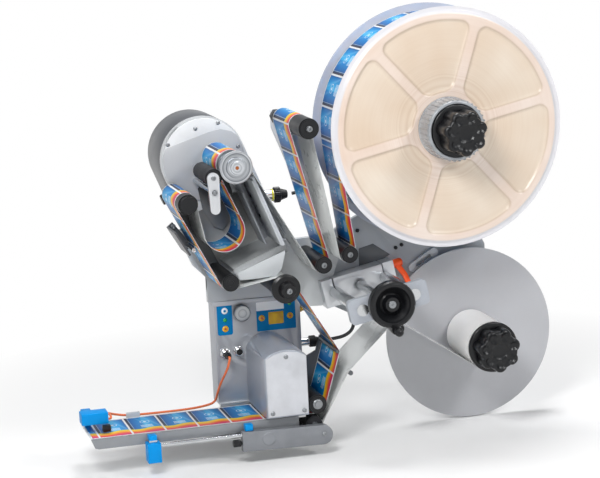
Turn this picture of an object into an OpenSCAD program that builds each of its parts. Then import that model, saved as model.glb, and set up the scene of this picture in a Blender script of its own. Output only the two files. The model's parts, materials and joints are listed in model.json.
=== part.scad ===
// Labeling head on a height-adjustable slide: unwinding reel, dancer arm,
// drive unit, dispensing beak, control box and backing-paper rewinder.
// Millimetres. +Z up, the operator stands on the -Y side. The origin is the
// centre of the stand's bolt pattern on the rear face of the stand plate.

/* [Web] */
// Width of the label web
web_w = 104; // [90:1:108]
// Thickness of the label web
web_t = 0.4; // [0.3:0.05:0.6]
// Gap between the web and what it runs on
web_gap = 0.3; // [0.25:0.05:0.4]

/* [Stand side] */
// Diameter of the two guide columns
column_d = 20; // [16:1:22]
// Distance between the column axes
column_gap = 91; // [86:1:96]
// Tilt of the slide to the right
slide_tilt = 11; // [8:1:14]
// Distance from the stand to the front of the end plate
slide_len = 282; // [276:1:296]
// Stand plate width
stand_w = 118; // [114:1:124]
// Stand plate height
stand_h = 60; // [56:1:66]
// Stand plate thickness
stand_t = 15; // [12:1:18]
// Pitch circle of the four stand bolts
bolt_pcd = 62; // [58:1:64]
// Diameter of the stand bolt holes
bolt_d = 6.6; // [5.5:0.1:7]
// End plate width
end_w = 138; // [134:1:144]
// End plate height
end_h = 42; // [38:1:46]
// End plate thickness
end_t = 12; // [10:1:14]
// Lead screw diameter
screw_d = 15; // [12:1:16]
// Running clearance of shafts and slides, on the radius
run = 0.05; // [0.03:0.01:0.08]

/* [Handwheels] */
// Large handwheel diameter
hw_d = 78; // [70:1:84]
// Large handwheel depth
hw_h = 24; // [20:1:28]
// Crank knob diameter
crank_d = 15; // [12:1:18]
// Small handwheel diameter
sw_d = 48; // [42:1:52]

/* [Slide block] */
// Block width
block_w = 132; // [128:1:136]
// Block height
block_h = 48; // [44:1:54]
// Block depth
block_y = 56; // [50:1:60]
// Pinch slit width
slit = 2.5; // [1.5:0.5:3]

/* [Reel] */
// Reel flange diameter
reel_d = 400; // [390:1:410]
// Diameter of the full label roll
roll_d = 376; // [366:1:380]
// Clear width between the flanges
reel_in = 110; // [109:1:114]
// Flange sheet thickness
flange_t = 2; // [1.5:0.5:3]
// Depth of the pressed windows in the front flange
press = 5; // [3:0.5:6]
// Number of spokes of the front flange
spokes = 6; // [5:1:7]
// Reel hub diameter
hub_d = 104; // [98:1:110]
// Length of the hub in front of the flange
hub_l = 58; // [50:1:62]
// Star grip diameter
grip_d = 76; // [70:1:80]
// Star grip height
grip_h = 40; // [36:1:46]
// Lobes of a star grip
lobes = 7; // [6:1:8]
// Reel shaft diameter
shaft_d = 30; // [26:1:32]

/* [Rewinder] */
// Rewinder disc diameter
disc_d = 300; // [290:1:310]
// Rewinder disc thickness
disc_t = 4; // [3:0.5:6]
// Diameter of the wound backing paper
paper_d = 84; // [80:1:90]
// Rewinder core diameter
core_d = 70; // [66:1:74]
// Rewinder core length
core_l = 116; // [112:1:118]

/* [Rollers] */
// Diameter of the two guide rollers by the reel
guide_d = 28; // [26:1:30]
// Diameter of the dancer roller
dancer_d = 34; // [32:1:36]
// Length of the dancer roller
dancer_l = 166; // [150:1:170]
// Length of the guide rollers
guide_l = 118; // [116:1:122]
// Drive spindle diameter
drive_d = 46; // [44:1:48]
// Length of the drive spindle
drive_l = 158; // [150:1:162]
// Nip roller diameter
nip_d = 28; // [24:1:29]
// Loop arm roller diameter
loop_d = 33; // [30:1:35]
// Lower roller diameter
low_d = 28; // [26:1:30]
// Turn roller diameter
turn_d = 36; // [32:1:38]
// Infeed roller diameter
infeed_d = 32; // [30:1:33]
// Traction roller diameter
tract_d = 28; // [26:1:29]
// Backing paper roller diameter
back_d = 20; // [18:1:22]
// Roller axle diameter
axle_d = 10; // [8:1:11]

/* [Unit] */
// Lean of the drive unit
lean = 21.5; // [20:0.5:23]
// Radius of the round end of the drive unit
unit_r = 71.5; // [69:0.5:73]
// Depth of the drive housing behind the plate
shell_y = 104; // [90:1:112]
// Main plate thickness
plate_t = 12; // [10:1:14]
// Wall thickness of the side wall and the shelf
wall_t = 4; // [3:0.5:5]

/* [Box] */
// Control box width
box_w = 150; // [146:1:152]
// Control box height
box_h = 178; // [174:1:180]
// Control box depth
box_y = 42; // [38:1:60]
// Key diameter
key_d = 11; // [9:1:12]
// Key travel
key_travel = 0.6; // [0.4:0.1:1]
// Dial diameter
dial_d = 28; // [24:1:30]
// Motor cover width
cover_w = 73; // [70:1:75]
// Motor cover depth
cover_y = 128; // [120:1:134]

/* [Beak] */
// Reach of the beak from the box's left side
beak_l = 236; // [220:1:250]
// Beak sheet thickness
beak_t = 3; // [2:0.5:4]
// Beak lip height
lip_h = 17; // [14:1:20]
// Guide rod diameter
rod_d = 7; // [6:0.5:8]

/* [Hidden] */
eps = 0.01;
fit = 0.3;
plate_y = -100;

// axes of everything that turns, in X and Z
reel_c = [133, 270];
rew_c = [198, -108];
guide_r_c = [-45.8, 73.8];
guide_l_c = [-91, 60.4];
dancer_c = [-118.7, 293.6];
unit_c = [-256.6, 234.8];
drive_c = [-237, 239];
loop_c = [-314.6, 182.2];
low_c = [-249, 46];
turn_c = [-158, 28];
fold_c = [-71, -90];
box_x = -253;
box_z = -187;
panel_z = box_z + box_h;
white_c = [box_x + 18, panel_z - 17];
yellow_c = [box_x + 18, panel_z - 48];
minus_c = [box_x + 82, panel_z - 36];
plus_c = [box_x + 131.5, panel_z - 36];
dial_c = [box_x + 46.5, panel_z - 22];
sockets_c = [[box_x + 15, panel_z - 90], [box_x + 38, panel_z - 88]];
cover_x = box_x + 51.5;
beak_top = box_z - 4;
rod_z = beak_top - 18;
infeed_c = [cover_x + cover_w + 1 + infeed_d/2, beak_top + web_gap + web_t + web_gap + infeed_d/2];
tract_c = [infeed_c[0] - 6.5, beak_top - 17];
notch_c = [-50, -129];
paper_c = [33, -60];
sag_c = [-252, 130];
sag_r = 34;
nip_a = 204;
nip_c = drive_c + (drive_d/2 + web_gap + web_t + fit + nip_d/2)*[cos(nip_a), sin(nip_a)];
nip_pivot = nip_c + [-1.5, -23];
web_y0 = 8;
fold_r = 3;
notch_r = 4;
tip_r = 2;

module at(c, d = 0) { translate([c[0], plate_y - d, c[1]]) children(); }
// cylinder along Y, growing towards the operator
module bar(d, l) { rotate([90, 0, 0]) cylinder(d = d, h = l, $fn = 64); }
module ring(d, b, l) {
  rotate([90, 0, 0]) difference() {
    cylinder(d = d, h = l, $fn = 64);
    translate([0, 0, -1]) cylinder(d = b, h = l + 2, $fn = 48);
  }
}
// flat plate in X and Z, from the given front face backwards
module slab(front, t) {
  translate([0, front + t, 0]) rotate([90, 0, 0]) linear_extrude(t) children();
}
module tilted() { rotate([0, -slide_tilt, 0]) children(); }
module leaned() { translate([unit_c[0], 0, unit_c[1]]) rotate([0, -lean, 0]) children(); }

// the web: a band that runs from circle to circle; each circle is
// [x, z, signed radius], positive where the web turns left around it
function dirn(a, b) = let (v = [b[0] - a[0], b[1] - a[1]])
  atan2(v[1], v[0]) - asin((b[2] - a[2])/norm(v));
function left(t) = [-sin(t), cos(t)];
function wound(t0, t1, s) = s > 0 ? (t1 < t0 - eps ? t1 + 360 : t1) : (t1 > t0 + eps ? t1 - 360 : t1);
function arcpts(c, t0, t1, o) = let (e = wound(t0, t1, c[2]), n = max(1, ceil(abs(e - t0)/9)))
  [for (k = [0:n]) let (t = t0 + (e - t0)*k/n) [c[0], c[1]] + (o - c[2])*left(t)];
function side(p, o, head, tail) = let (n = len(p)) [for (i = [head ? 0 : 1:tail ? n - 1 : n - 2])
  each (i == 0 ? [[p[0][0], p[0][1]] + (o - p[0][2])*left(dirn(p[0], p[1]))]
    : i == n - 1 ? [[p[i][0], p[i][1]] + (o - p[i][2])*left(dirn(p[i - 1], p[i]))]
    : arcpts(p[i], dirn(p[i - 1], p[i]), dirn(p[i], p[i + 1]), o))];
function flip(v) = [for (i = [len(v) - 1:-1:0]) v[i]];
// without head or tail, the first or last circle only sets the direction
module band(p, head = true, tail = true) {
  slab(plate_y - web_y0 - web_w, web_w)
    polygon(concat(side(p, web_t/2, head, tail), flip(side(p, -web_t/2, head, tail))));
}
function turn(c, d, s) = [c[0], c[1], s*(d/2 + web_gap + web_t/2)];

// star grip: dished face, pockets between hub and lobes, hand-sized
module star_grip(d, h, bore) {
  lobe = d*0.14;
  rotate([90, 0, 0]) difference() {
    union() {
      linear_extrude(h) union() {
        circle(d = d*0.8, $fn = 64);
        for (i = [0:lobes - 1]) rotate((i + 0.3)*360/lobes) translate([d/2 - lobe, 0]) circle(lobe, $fn = 32);
      }
      // collar at the foot
      cylinder(d = d + 10, h = 8, $fn = 96);
    }
    translate([0, 0, h - 5]) cylinder(d1 = d*0.3, d2 = d*0.44, h = 5 + eps, $fn = 48);
    for (i = [0:lobes - 1]) rotate((i + 0.3)*360/lobes) translate([0, 0, h - 8]) linear_extrude(10)
      polygon([[d*0.26, -d*0.03], [d*0.35, -d*0.08], [d*0.39, -d*0.06], [d*0.41, 0],
        [d*0.39, d*0.06], [d*0.35, d*0.08], [d*0.26, d*0.03]]);
    translate([0, 0, -1]) cylinder(d = bore, h = h - 12, $fn = 48);
  }
}

module stand_plate() {
  color("#9a9da1") tilted() difference() {
    translate([-stand_w/2, -stand_t, -stand_h/2]) cube([stand_w, stand_t, stand_h]);
    for (a = [45:90:315]) rotate([0, a, 0]) translate([bolt_pcd/2, 1, 0]) bar(bolt_d, stand_t + 2);
    for (x = [-1, 1]) translate([x*column_gap/2, 1, 0]) bar(column_d, stand_t + 2);
    translate([0, 1, 0]) bar(screw_d + 6, stand_t + 2);
  }
}
module columns() {
  color("#c9cbcf") tilted() for (s = [-1, 1]) translate([s*column_gap/2, 0, 0]) bar(column_d, slide_len);
}
module end_plate() {
  color("#b9c3cd") tilted() difference() {
    slab(-slide_len, end_t) difference() {
      union() {
        square([end_w, end_h - 16], center = true);
        square([end_w - 16, end_h], center = true);
        for (x = [-1, 1], z = [-1, 1]) translate([x*(end_w/2 - 8), z*(end_h/2 - 8)]) circle(8, $fn = 48);
      }
    }
    for (x = [-1, 1]) translate([x*column_gap/2, 1 - slide_len + end_t, 0]) bar(column_d, end_t + 2);
    translate([0, 1 - slide_len + end_t, 0]) bar(screw_d + 2*run, end_t + 2);
  }
}
// dished wheel on the lead screw
module handwheel() {
  color("#1d1e21") {
    translate([0, -slide_len - fit, 0]) rotate([90, 0, 0]) rotate_extrude($fn = 96)
      polygon([[0, 0], [hw_d*0.2, 0], [hw_d*0.22, 5], [hw_d/2 - 8, 6], [hw_d/2 - 6, 5], [hw_d/2 - 1.5, 6],
        [hw_d/2, 9], [hw_d/2, hw_h - 4], [hw_d/2 - 2, hw_h - 1], [hw_d/2 - 5, hw_h], [hw_d/2 - 9, hw_h - 1],
        [hw_d/2 - 11, hw_h - 4], [hw_d*0.24, 9], [hw_d*0.2, 11], [hw_d*0.15, hw_h - 5], [0, hw_h - 5]]);
    // lug that carries the crank knob, set back from the rim
    rotate([0, crank_turn, 0]) slab(lug_front, 10) union() {
      translate([0, hw_d/2 + 3]) circle(crank_d/2, $fn = 48);
      translate([-crank_d*0.42, hw_d/2 - 8]) square([crank_d*0.84, 11]);
    }
    rotate([0, crank_turn, 0]) translate([0, lug_front + 6, hw_d/2 + 3]) bar(5, 31);
    translate([0, -stand_t - 20, 0]) bar(screw_d, slide_len - stand_t - 20 + 1);
  }
}
crank_turn = 176;
lug_front = -slide_len - fit - hw_h - 0.5;
module crank_knob() {
  color("#26272a") rotate([0, crank_turn, 0]) translate([0, lug_front - fit, hw_d/2 + 3])
    rotate([90, 0, 0]) rotate_extrude($fn = 48) polygon([[2.5 + run, 0], [crank_d*0.36, 0], [crank_d*0.3, 3],
      [crank_d/2, 14], [crank_d/2 - 0.6, 18], [crank_d/2 - 3, 21], [2.5 + run, 22]]);
}

block_front = plate_y - 20;
module slide_block() {
  color("#d9dadd") tilted() difference() {
    union() {
      translate([-block_w/2, block_front, -block_h/2]) cube([block_w - 22, block_y, block_h]);
      translate([block_w/2 - 22, block_front + 3, -block_h/2 + 8]) cube([22, block_y - 3, block_h - 8]);
    }
    for (x = [-1, 1]) translate([x*column_gap/2, block_front + block_y + 1, 0]) bar(column_d + 2*run, block_y + 2);
    translate([0, block_front + block_y + 1, 0]) bar(screw_d + 0.8, block_y + 2);
    // dished mouth round the lead screw
    translate([0, block_front + 3, 0]) rotate([90, 0, 0]) cylinder(d1 = screw_d + 0.8, d2 = screw_d + 10, h = 3 + eps, $fn = 48);
    for (x = [-1, 1]) translate([x*column_gap/2 - slit/2, block_front - 1, column_d/2 - 2])
      cube([slit, block_y + 2, block_h]);
    translate([block_w/2 - 10, block_front + 16, clamp_z]) rotate([0, 90, 0])
      cylinder(d = 8 + 2*run, h = 12, $fn = 48);
  }
}
clamp_z = block_h/2 - 10;
module clamp_lever() {
  color("#f4520c") tilted() translate([block_w/2 + fit, block_front + 16, clamp_z]) rotate([0, 90, 0]) {
    cylinder(d = 15, h = 15, $fn = 48);
    rotate_extrude($fn = 48) polygon([[0, 14.9], [7.5, 14.9], [6.5, 17.5], [4, 19], [0, 19.5]]);
    translate([0, 0, -9]) cylinder(d = 8, h = 10, $fn = 48);
    hull() {
      translate([0, 0, 7]) rotate([90, 0, 0]) cylinder(d = 10, h = 7, center = true, $fn = 32);
      translate([22, -9, 16]) rotate([90, 0, 0]) cylinder(d = 9, h = 6, center = true, $fn = 32);
    }
    hull() {
      translate([22, -9, 16]) rotate([90, 0, 0]) cylinder(d = 9, h = 6, center = true, $fn = 32);
      translate([42, -17, 18]) rotate([90, 0, 0]) cylinder(d = 9, h = 6, center = true, $fn = 32);
    }
  }
}
module block_cut() {
  tilted() translate([-block_w/2, block_front - 1, -block_h/2]) cube([block_w, block_y + 2, block_h]);
}
module carrier_plate() {
  color("#a4a8ad") difference() {
    union() {
      slab(plate_y + plate_t + fit, 10) union() {
        polygon([[-46, 84], [-26, 97], [18, 118], [reel_c[0] - 44, reel_c[1] + 12], [reel_c[0] + 44, reel_c[1] + 12],
          [232, 56], [238, 44], [rew_c[0] + 42, rew_c[1] - 8], [rew_c[0] - 30, rew_c[1] - 34],
          [paper_c[0] + 6, paper_c[1] - 16], [paper_c[0] - 16, paper_c[1] - 10], [-40, -40], [-62, -20], [-64, 30]]);
        translate(reel_c) circle(46, $fn = 64);
        translate(rew_c) circle(42, $fn = 64);
        translate(paper_c) circle(17, $fn = 48);
      }
      // bearing housings behind and in front
      translate([reel_c[0], plate_y + plate_t + 40, reel_c[1]]) bar(70, 40 + plate_t - 1);
      translate([rew_c[0], plate_y + plate_t + 52, rew_c[1]]) bar(62, 52 + plate_t - 1);
      // shaft of the reel
      translate([reel_c[0], plate_y + 1 + eps, reel_c[1]]) bar(shaft_d, reel_front + hub_l + 24);
      translate([rew_c[0], plate_y + 1 + eps, rew_c[1]]) bar(shaft_d, core_l + 24);
      at(paper_c, -plate_t - 1) bar(axle_d, plate_t + guide_l + web_y0 - 2);
    }
    // the block passes through
    block_cut();
    // fixing holes beside the reel
    for (h = [[75.3, 51.8], [86.1, 55.9]]) translate([h[0], plate_y + 60, h[1]]) bar(6, 90);
  }
}
module unit_outline(o = 0) {
  union() {
    circle(unit_r + o, $fn = 128);
    translate([-unit_r - o, -150]) square([2*(unit_r + o), 150]);
  }
}
module main_plate() {
  color("#a7abb0") difference() {
    union() {
      // obround plate of the drive unit
      leaned() slab(plate_y, plate_t) unit_outline();
      slab(plate_y, plate_t) union() {
        polygon([[-205, 100], [-115, 85], [-62, 87], [-36, 92], [-26, 78], [-26, 60], [-40, 20], [-64, -34], [box_x + box_w + 2, -32],
          [box_x + box_w + 2, box_z + box_h], [box_x - 9, box_z + box_h], [-262, 33], [-284, 56], [-299, 92],
          [-308, 118], [-280, 120]]);
      }
      // shelf under the drive unit, with its curved front
      leaned() translate([-45, plate_y - 96, -shelf_s]) cube([96, 96 + eps, wall_t]);
      leaned() translate([-45, plate_y - 96, -shelf_s - 12]) cube([96, wall_t, 12 + eps]);
    }
    at(drive_c, -plate_t - 1) bar(drive_shaft + 2*run, plate_t + 2);
    // recess that the drive chamber is set into
    leaned() translate([-30, plate_y - 1, -140]) cube([56, 6, 66]);
    block_cut();
  }
}
// axles that stand on the plate, and the pin of the nip lever
module axles() {
  color("#c9cbcf") {
    for (c = [guide_r_c, guide_l_c, low_c]) at(c) bar(axle_d, guide_l + 4);
    at(turn_c) bar(axle_d, guide_l + 29);
    at(nip_pivot) bar(9, drive_l - 9);
  }
}
drive_shaft = 18;
shelf_s = 170;
module drive_housing() {
  color("#7d8084") difference() {
    leaned() slab(plate_y + plate_t, shell_y) union() {
      circle(unit_r, $fn = 128);
      translate([-unit_r, -90]) square([2*unit_r, 90]);
      translate([0, -90]) circle(unit_r, $fn = 128);
    }
    at(drive_c, -plate_t - 20) bar(drive_shaft + 4, 22);
  }
}
module ring_plate() {
  color("#d4d6d9") difference() {
    leaned() difference() {
      slab(plate_y - 3, 3) circle(unit_r - 3, $fn = 128);
      translate([wall_x - 18, plate_y - 10, -90]) cube([60, 20, 90 - wall_s + 1]);
    }
    at(drive_c, -5) bar(26, 10);
    at(nip_pivot, -5) bar(9, 10);
  }
}
wall_x = 44;
wall_s = 40;
module side_wall() {
  color("#8d9196") leaned() {
    translate([wall_x, plate_y - 108, wall_t - shelf_s]) cube([wall_t, 108, shelf_s - wall_t - wall_s]);
    translate([wall_x - 7, plate_y - 7, wall_t - shelf_s]) cylinder(d = 14, h = shelf_s - wall_t - wall_s - 2, $fn = 48);
    translate([wall_x - 16, plate_y - 48, wall_t - shelf_s]) cube([2, 48, shelf_s - wall_t - wall_s - 30]);
  }
}

reel_back = 4;
reel_front = reel_back + reel_in;
module reel_back_flange() {
  color("#c5c6d6") at(reel_c, reel_back - flange_t) ring(reel_d, hub_d*0.7, flange_t);
}
module window(r0, r1, w) {
  // rounded sector between two radii, narrowed by the spoke width
  a = 180/spokes;
  difference() {
    intersection() {
      difference() { circle(r1, $fn = 128); circle(r0, $fn = 96); }
      polygon([[0, 0], [2*r1*cos(a), 2*r1*sin(a)], [2*r1, 0], [2*r1*cos(a), -2*r1*sin(a)]]);
    }
    for (s = [-1, 1]) rotate(s*a) translate([0, -w/2]) square([2*r1, w]);
  }
}
module reel_front_flange() {
  color("#efe6da") at(reel_c, reel_front) {
    difference() {
      union() {
        ring(reel_d, hub_d*0.7, flange_t);
        translate([0, -flange_t + eps, 0]) ring(reel_d - 22, hub_d + 8, press);
      }
      for (i = [0:spokes - 1]) rotate([0, i*360/spokes - 18, 0])
        slab(-flange_t - press - 1, press + 1)
          offset(14, $fn = 32) offset(-14) window(hub_d/2 + 8, reel_d/2 - 22, 19);
    }
  }
}
module reel_roll() {
  color("#3f8fd0") at(reel_c, web_y0) ring(roll_d, hub_d*0.7 + 8, web_w);
}
module reel_hub() {
  color("#dfe6ea") at(reel_c, reel_back - 1) {
    ring(hub_d*0.7 - 0.2, shaft_d + 2*run, reel_front + hub_l - reel_back - 11);
    translate([0, -reel_front - flange_t - press + reel_back - 1 + 2*eps, 0]) difference() {
      union() {
        ring(hub_d, shaft_d + 2*run, 6);
        ring(hub_d - 8, shaft_d + 2*run, hub_l - 12);
        for (i = [0:11]) rotate([0, i*30, 0]) translate([-1.5, -hub_l + 12, hub_d/2 - 8])
          cube([3, hub_l - 12, 8 - eps]);
      }
      translate([0, -hub_l + 30, 0]) bar(grip_d + 11, hub_l);
    }
  }
}
module reel_knob() {
  color("#1d1e21") at(reel_c, reel_front + hub_l - 12 + fit) star_grip(grip_d, grip_h + 12, shaft_d + 2*run);
}

module rewind_disc() {
  color("#b3b7bb") at(rew_c, 3 - disc_t + fit + 1) ring(disc_d, shaft_d + 2*run, disc_t);
}
module rewind_core() {
  color("#f2efe9") at(rew_c, 3 + fit + 1 + eps) {
    ring(core_d, shaft_d + 2*run, core_l);
    translate([0, -4, 0]) ring(paper_d, core_d - 1, web_w);
  }
}
module rewind_knob() {
  color("#1d1e21") at(rew_c, 4 + core_l + 2*fit) star_grip(grip_d, grip_h, shaft_d + 2*run);
}

module roller(c, d, l, y0) {
  at(c, y0) {
    ring(d, axle_d + 2*run, l);
    translate([0, -l + eps, 0]) ring(d*0.86, axle_d + 2*run, 2);
  }
}
module guide_roller_right() { color("#222327") roller(guide_r_c, guide_d, guide_l, 6); }
module guide_roller_left() { color("#222327") roller(guide_l_c, guide_d, guide_l, 6); }
module low_roller() { color("#222327") roller(low_c, low_d, guide_l - 2, arm_y + fit); }
module turn_roller() { color("#2a2b2f") roller(turn_c, turn_d, guide_l - 6, 5); }
module infeed_roller() { color("#3a3b3f") roller(infeed_c, infeed_d, guide_l - 6, 5); }
module traction_roller() { color("#3a3b3f") roller(tract_c, tract_d, guide_l - 6, 5); }
module paper_roller() { color("#3a3b3f") roller(paper_c, back_d, guide_l, 5); }
module dancer_roller() { color("#222327") roller(dancer_c, dancer_d, dancer_l, 4); }
module loop_roller() { color("#222327") roller(loop_c, loop_d, guide_l + 8, arm_y + fit); }
module dancer_arm() {
  color("#b6babd") {
    difference() {
      slab(plate_y - 3, 3) hull() {
        translate(dancer_c + [-4, 0]) square([32, 30], center = true);
        translate(guide_r_c) circle(14, $fn = 32);
      }
      at(guide_r_c, -5) bar(axle_d + 2*run, 12);
    }
    at(dancer_c, 3 - eps) bar(axle_d, dancer_l + 4);
  }
}
module drive_spindle() {
  color("#d4d6d9") at(drive_c, 3 + fit) {
    bar(drive_d, drive_l - 44);
    translate([0, -drive_l + 44 + eps, 0]) bar(drive_d - 8, 12);
    translate([0, -drive_l + 32, 0]) bar(drive_d - 14, 24);
    translate([0, -drive_l + 10, 0]) rotate([90, 0, 0]) rotate_extrude($fn = 96)
      polygon([[0, 0], [26, 0], [27, 1], [27, 3], [26, 4], [17, 4], [16, 7], [11, 8], [10, 10], [0, 10]]);
    translate([0, 3 + fit + plate_t + 10, 0]) bar(drive_shaft, plate_t + 14);
  }
}
module nip_lever() {
  color("#c4c7cb") {
    difference() {
      slab(plate_y - drive_l + 6, 6) union() {
        translate(nip_c + [-3, 0]) circle(9.5, $fn = 48);
        translate(nip_c + [-2, -50]) circle(8, $fn = 48);
        polygon([nip_c + [-12.5, 0], nip_c + [6.5, 0], nip_c + [6, -50], nip_c + [-10, -50]]);
      }
      at(nip_pivot, drive_l - 20) bar(9 + 2*run, 30);
    }
    at(nip_c, 6) bar(axle_d, drive_l - 6 - 6 + eps);
  }
}
module nip_roller() { color("#1f2023") roller(nip_c, nip_d, drive_l - 68, 50); }
arm_y = 7.2;
module loop_arm() {
  color("#515459") {
    difference() {
      union() {
        slab(plate_y - arm_y, 3.2) hull() {
          translate(loop_c) circle(14, $fn = 32);
          translate(low_c) circle(12, $fn = 32);
        }
        at(low_c, fit) bar(20, arm_y - 1);
      }
      at(low_c, -1) bar(axle_d + 2*run, 12);
    }
    at(loop_c, arm_y - 1) bar(axle_d, guide_l + 12);
  }
}
module small_handwheel() {
  color("#1d1e21") at(turn_c, guide_l + 2) rotate([90, 0, 0]) rotate_extrude($fn = 96)
    polygon([[axle_d/2 + run, 0], [sw_d/2 - 3, 0], [sw_d/2, 2], [sw_d/2, 9], [sw_d/2 - 3, 11], [sw_d*0.3, 12],
      [sw_d*0.28, 14], [sw_d*0.26, 26], [sw_d*0.22, 28], [axle_d/2 + run, 28]]);
}
module web_sensor() {
  color("#8b8e92") {
    slab(plate_y - 3.5, 3.5) polygon([[-326, 126], [-316, 134], [-284, 92], [-296, 84]]);
    slab(plate_y - 66, 66) polygon([[-326, 126], [-323.5, 128], [-300, 88], [-303, 86]]);
  }
}

module control_box() {
  color("#b4b7bb") difference() {
    union() {
      translate([box_x, plate_y, box_z]) cube([box_w, box_y, box_h]);
      // folded lid
      translate([box_x - 1.5, plate_y - 1.5, box_z + box_h - 8]) cube([box_w + 3, box_y + 1.5, 8]);
    }
    for (k = [white_c, yellow_c, minus_c, plus_c]) at(k, -4) bar(key_d + 0.3, 10);
    at(dial_c, -6) bar(dial_d*0.4 + 2*run, 10);
    for (s = sockets_c) at(s, -4) bar(14, 8);
  }
}
module key(c, h) { at(c, -3) bar(key_d, 3 + h); }
module key_white() { color("#e9edf0") key(white_c, 1.2); }
module key_yellow() { color("#d9a514") key(yellow_c, 1.2); }
module key_minus() { color("#d9a514") key(minus_c, 1.2); }
module key_plus() { color("#d9a514") key(plus_c, 1.2); }
module dial() {
  color("#c2c4c7") {
    at(dial_c, 1.5 + fit) bar(dial_d, 12);
    at(dial_c, -5) bar(dial_d*0.4, 8);
  }
}
module sockets() {
  color("#cfd1d4") for (s = sockets_c) at(s, -3.7) difference() { bar(14, 12); translate([0, -6, 0]) bar(10, 7); }
}
module sensor_plug() {
  color("#2b2b2e") at(sockets_c[0], 8.6) { bar(9.6, 8); translate([0, -8, 0]) bar(12, 14); }
}
module cover_face(w, h, r) {
  // arched outline: straight sides and a low arch
  union() {
    translate([-w/2, 0]) square([w, h - r]);
    intersection() {
      translate([-w/2, h - r - eps]) square([w, r + eps]);
      translate([0, h - (w*w/4 + r*r)/(2*r)]) circle((w*w/4 + r*r)/(2*r), $fn = 96);
    }
  }
}
module motor_cover() {
  color("#9fa3a8") translate([cover_x + cover_w/2, 0, box_z]) hull() {
    slab(plate_y - 1, 1) cover_face(cover_w, 119, 26);
    slab(plate_y - cover_y + 6, 1) cover_face(cover_w, 115, 14);
    slab(plate_y - cover_y, 1) cover_face(cover_w - 2, 113, 12);
  }
  // front plate
  color("#cdd0d4") translate([cover_x + cover_w/2, 0, box_z + 2.7])
    slab(plate_y - cover_y - 3 - eps, 3) cover_face(cover_w - 4, 108.5, 10);
}
module guide_plate() {
  color("#6c6f73") {
    slab(plate_y - 4, 4) polygon([[cover_x + cover_w + 0.5, -140], [-106, -122], [-88, -114], [-80, -110], [-72, -84], [-62, -84], [-52, -104],
      [-42, -122], [-42, -138], [-62, -162], [-94, -222],
      [cover_x + cover_w + 0.5, -222]]);
    at(fold_c, 4 - eps) bar(2*fold_r, web_w + 4);
    at(notch_c, 4 - eps) bar(2*notch_r, web_w + 4);
    at(infeed_c, 4 - eps) bar(axle_d, guide_l - 2);
    at(tract_c, 4 - eps) bar(axle_d, guide_l);
  }
}

beak_x = box_x - beak_l;
module beak() {
  color("#b9bcbf") {
    translate([beak_x, plate_y - web_y0 - web_w - 2, beak_top - beak_t]) cube([infeed_c[0] - 20 - beak_x, web_w + 6, beak_t]);
    slab(plate_y - web_y0 - web_w - 4, 2 + eps) polygon([[beak_x - 4, beak_top], [beak_x + 2, beak_top - lip_h + 2],
      [beak_x + 8, beak_top - lip_h], [infeed_c[0] - 33, beak_top - lip_h], [infeed_c[0] - 33, beak_top]]);
    translate([box_x + 2, plate_y - 4, beak_top - 26]) cube([box_w - 32, 10, box_z - beak_top + 26]);
  }
}
module beak_bar() {
  color("#9b9ea2") slab(plate_y - 136, 14) difference() {
    union() {
      polygon([[-246, beak_top - 11.5], [-246, beak_top - 45], [-108.5, beak_top - 48], [-108.5, beak_top - 15]]);
      translate([-108.5, beak_top - 31.5]) circle(16.5, $fn = 48);
    }
  }
}
module guide_rod() {
  color("#d8d9db") translate([-246, plate_y - 129, rod_z]) rotate([0, -90, 0])
    cylinder(d = rod_d, h = 152, $fn = 48);
}
hold_x = beak_x + 84;
module hold_down() {
  color("#0c95e8") difference() {
    union() {
      translate([hold_x, plate_y - 141, beak_top - 44]) cube([22, 24, 32]);
      translate([hold_x + 4, plate_y - 134, beak_top - 12 - eps]) cube([13, 9, 6]);
      translate([hold_x + 4, plate_y - 134, beak_top - 7.5]) cube([13, 16, 7.7]);
    }
    translate([hold_x - 5, plate_y - 129, rod_z]) rotate([0, 90, 0]) cylinder(d = rod_d + 2*run, h = 40, $fn = 48);
  }
}
module label_sensor() {
  color("#0c95e8") {
    translate([beak_x - 12, plate_y - 84, beak_top + 16]) cube([44, 28, 19]);
    translate([beak_x - 1, plate_y - 57, beak_top + 19]) cube([16, 59, 4]);
    translate([beak_x - 1, plate_y - 3.7, beak_top - 2]) cube([16, 5.7, 25]);
    translate([-239.5, plate_y - 132, beak_top - 11.5]) cube([13, 14, 11]);
  }
}

module web_supply() {
  color("#4a93cf") band([[reel_c[0], reel_c[1], roll_d/2 + web_gap + web_t/2], turn(guide_r_c, guide_d, -1),
    turn(dancer_c, dancer_d, 1)], tail = false);
}
module web_dancer() {
  color("#4a93cf") band([turn(guide_r_c, guide_d, -1), turn(dancer_c, dancer_d, 1), turn(guide_l_c, guide_d, -1)]);
}
module web_run() {
  color("#4a93cf") band([turn(dancer_c, dancer_d, 1), turn(guide_l_c, guide_d, -1), turn(drive_c, drive_d, 1),
    [sag_c[0], sag_c[1], -sag_r], turn(loop_c, loop_d, 1), turn(low_c, low_d, 1), turn(turn_c, turn_d, -1),
    turn(fold_c, 2*fold_r, -1), turn(infeed_c, infeed_d, -1),
    [beak_x, beak_top - tip_r, tip_r + web_gap + web_t/2]], head = false);
}
module backing() {
  color("#e6e8ea") band([turn(infeed_c, infeed_d, -1), [beak_x, beak_top - tip_r, tip_r + web_gap + web_t/2],
    turn(tract_c, tract_d, 1), turn(notch_c, 2*notch_r, -1), turn(paper_c, back_d, -1),
    [rew_c[0], rew_c[1], paper_d/2 + web_gap + web_t/2]], head = false);
}

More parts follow.
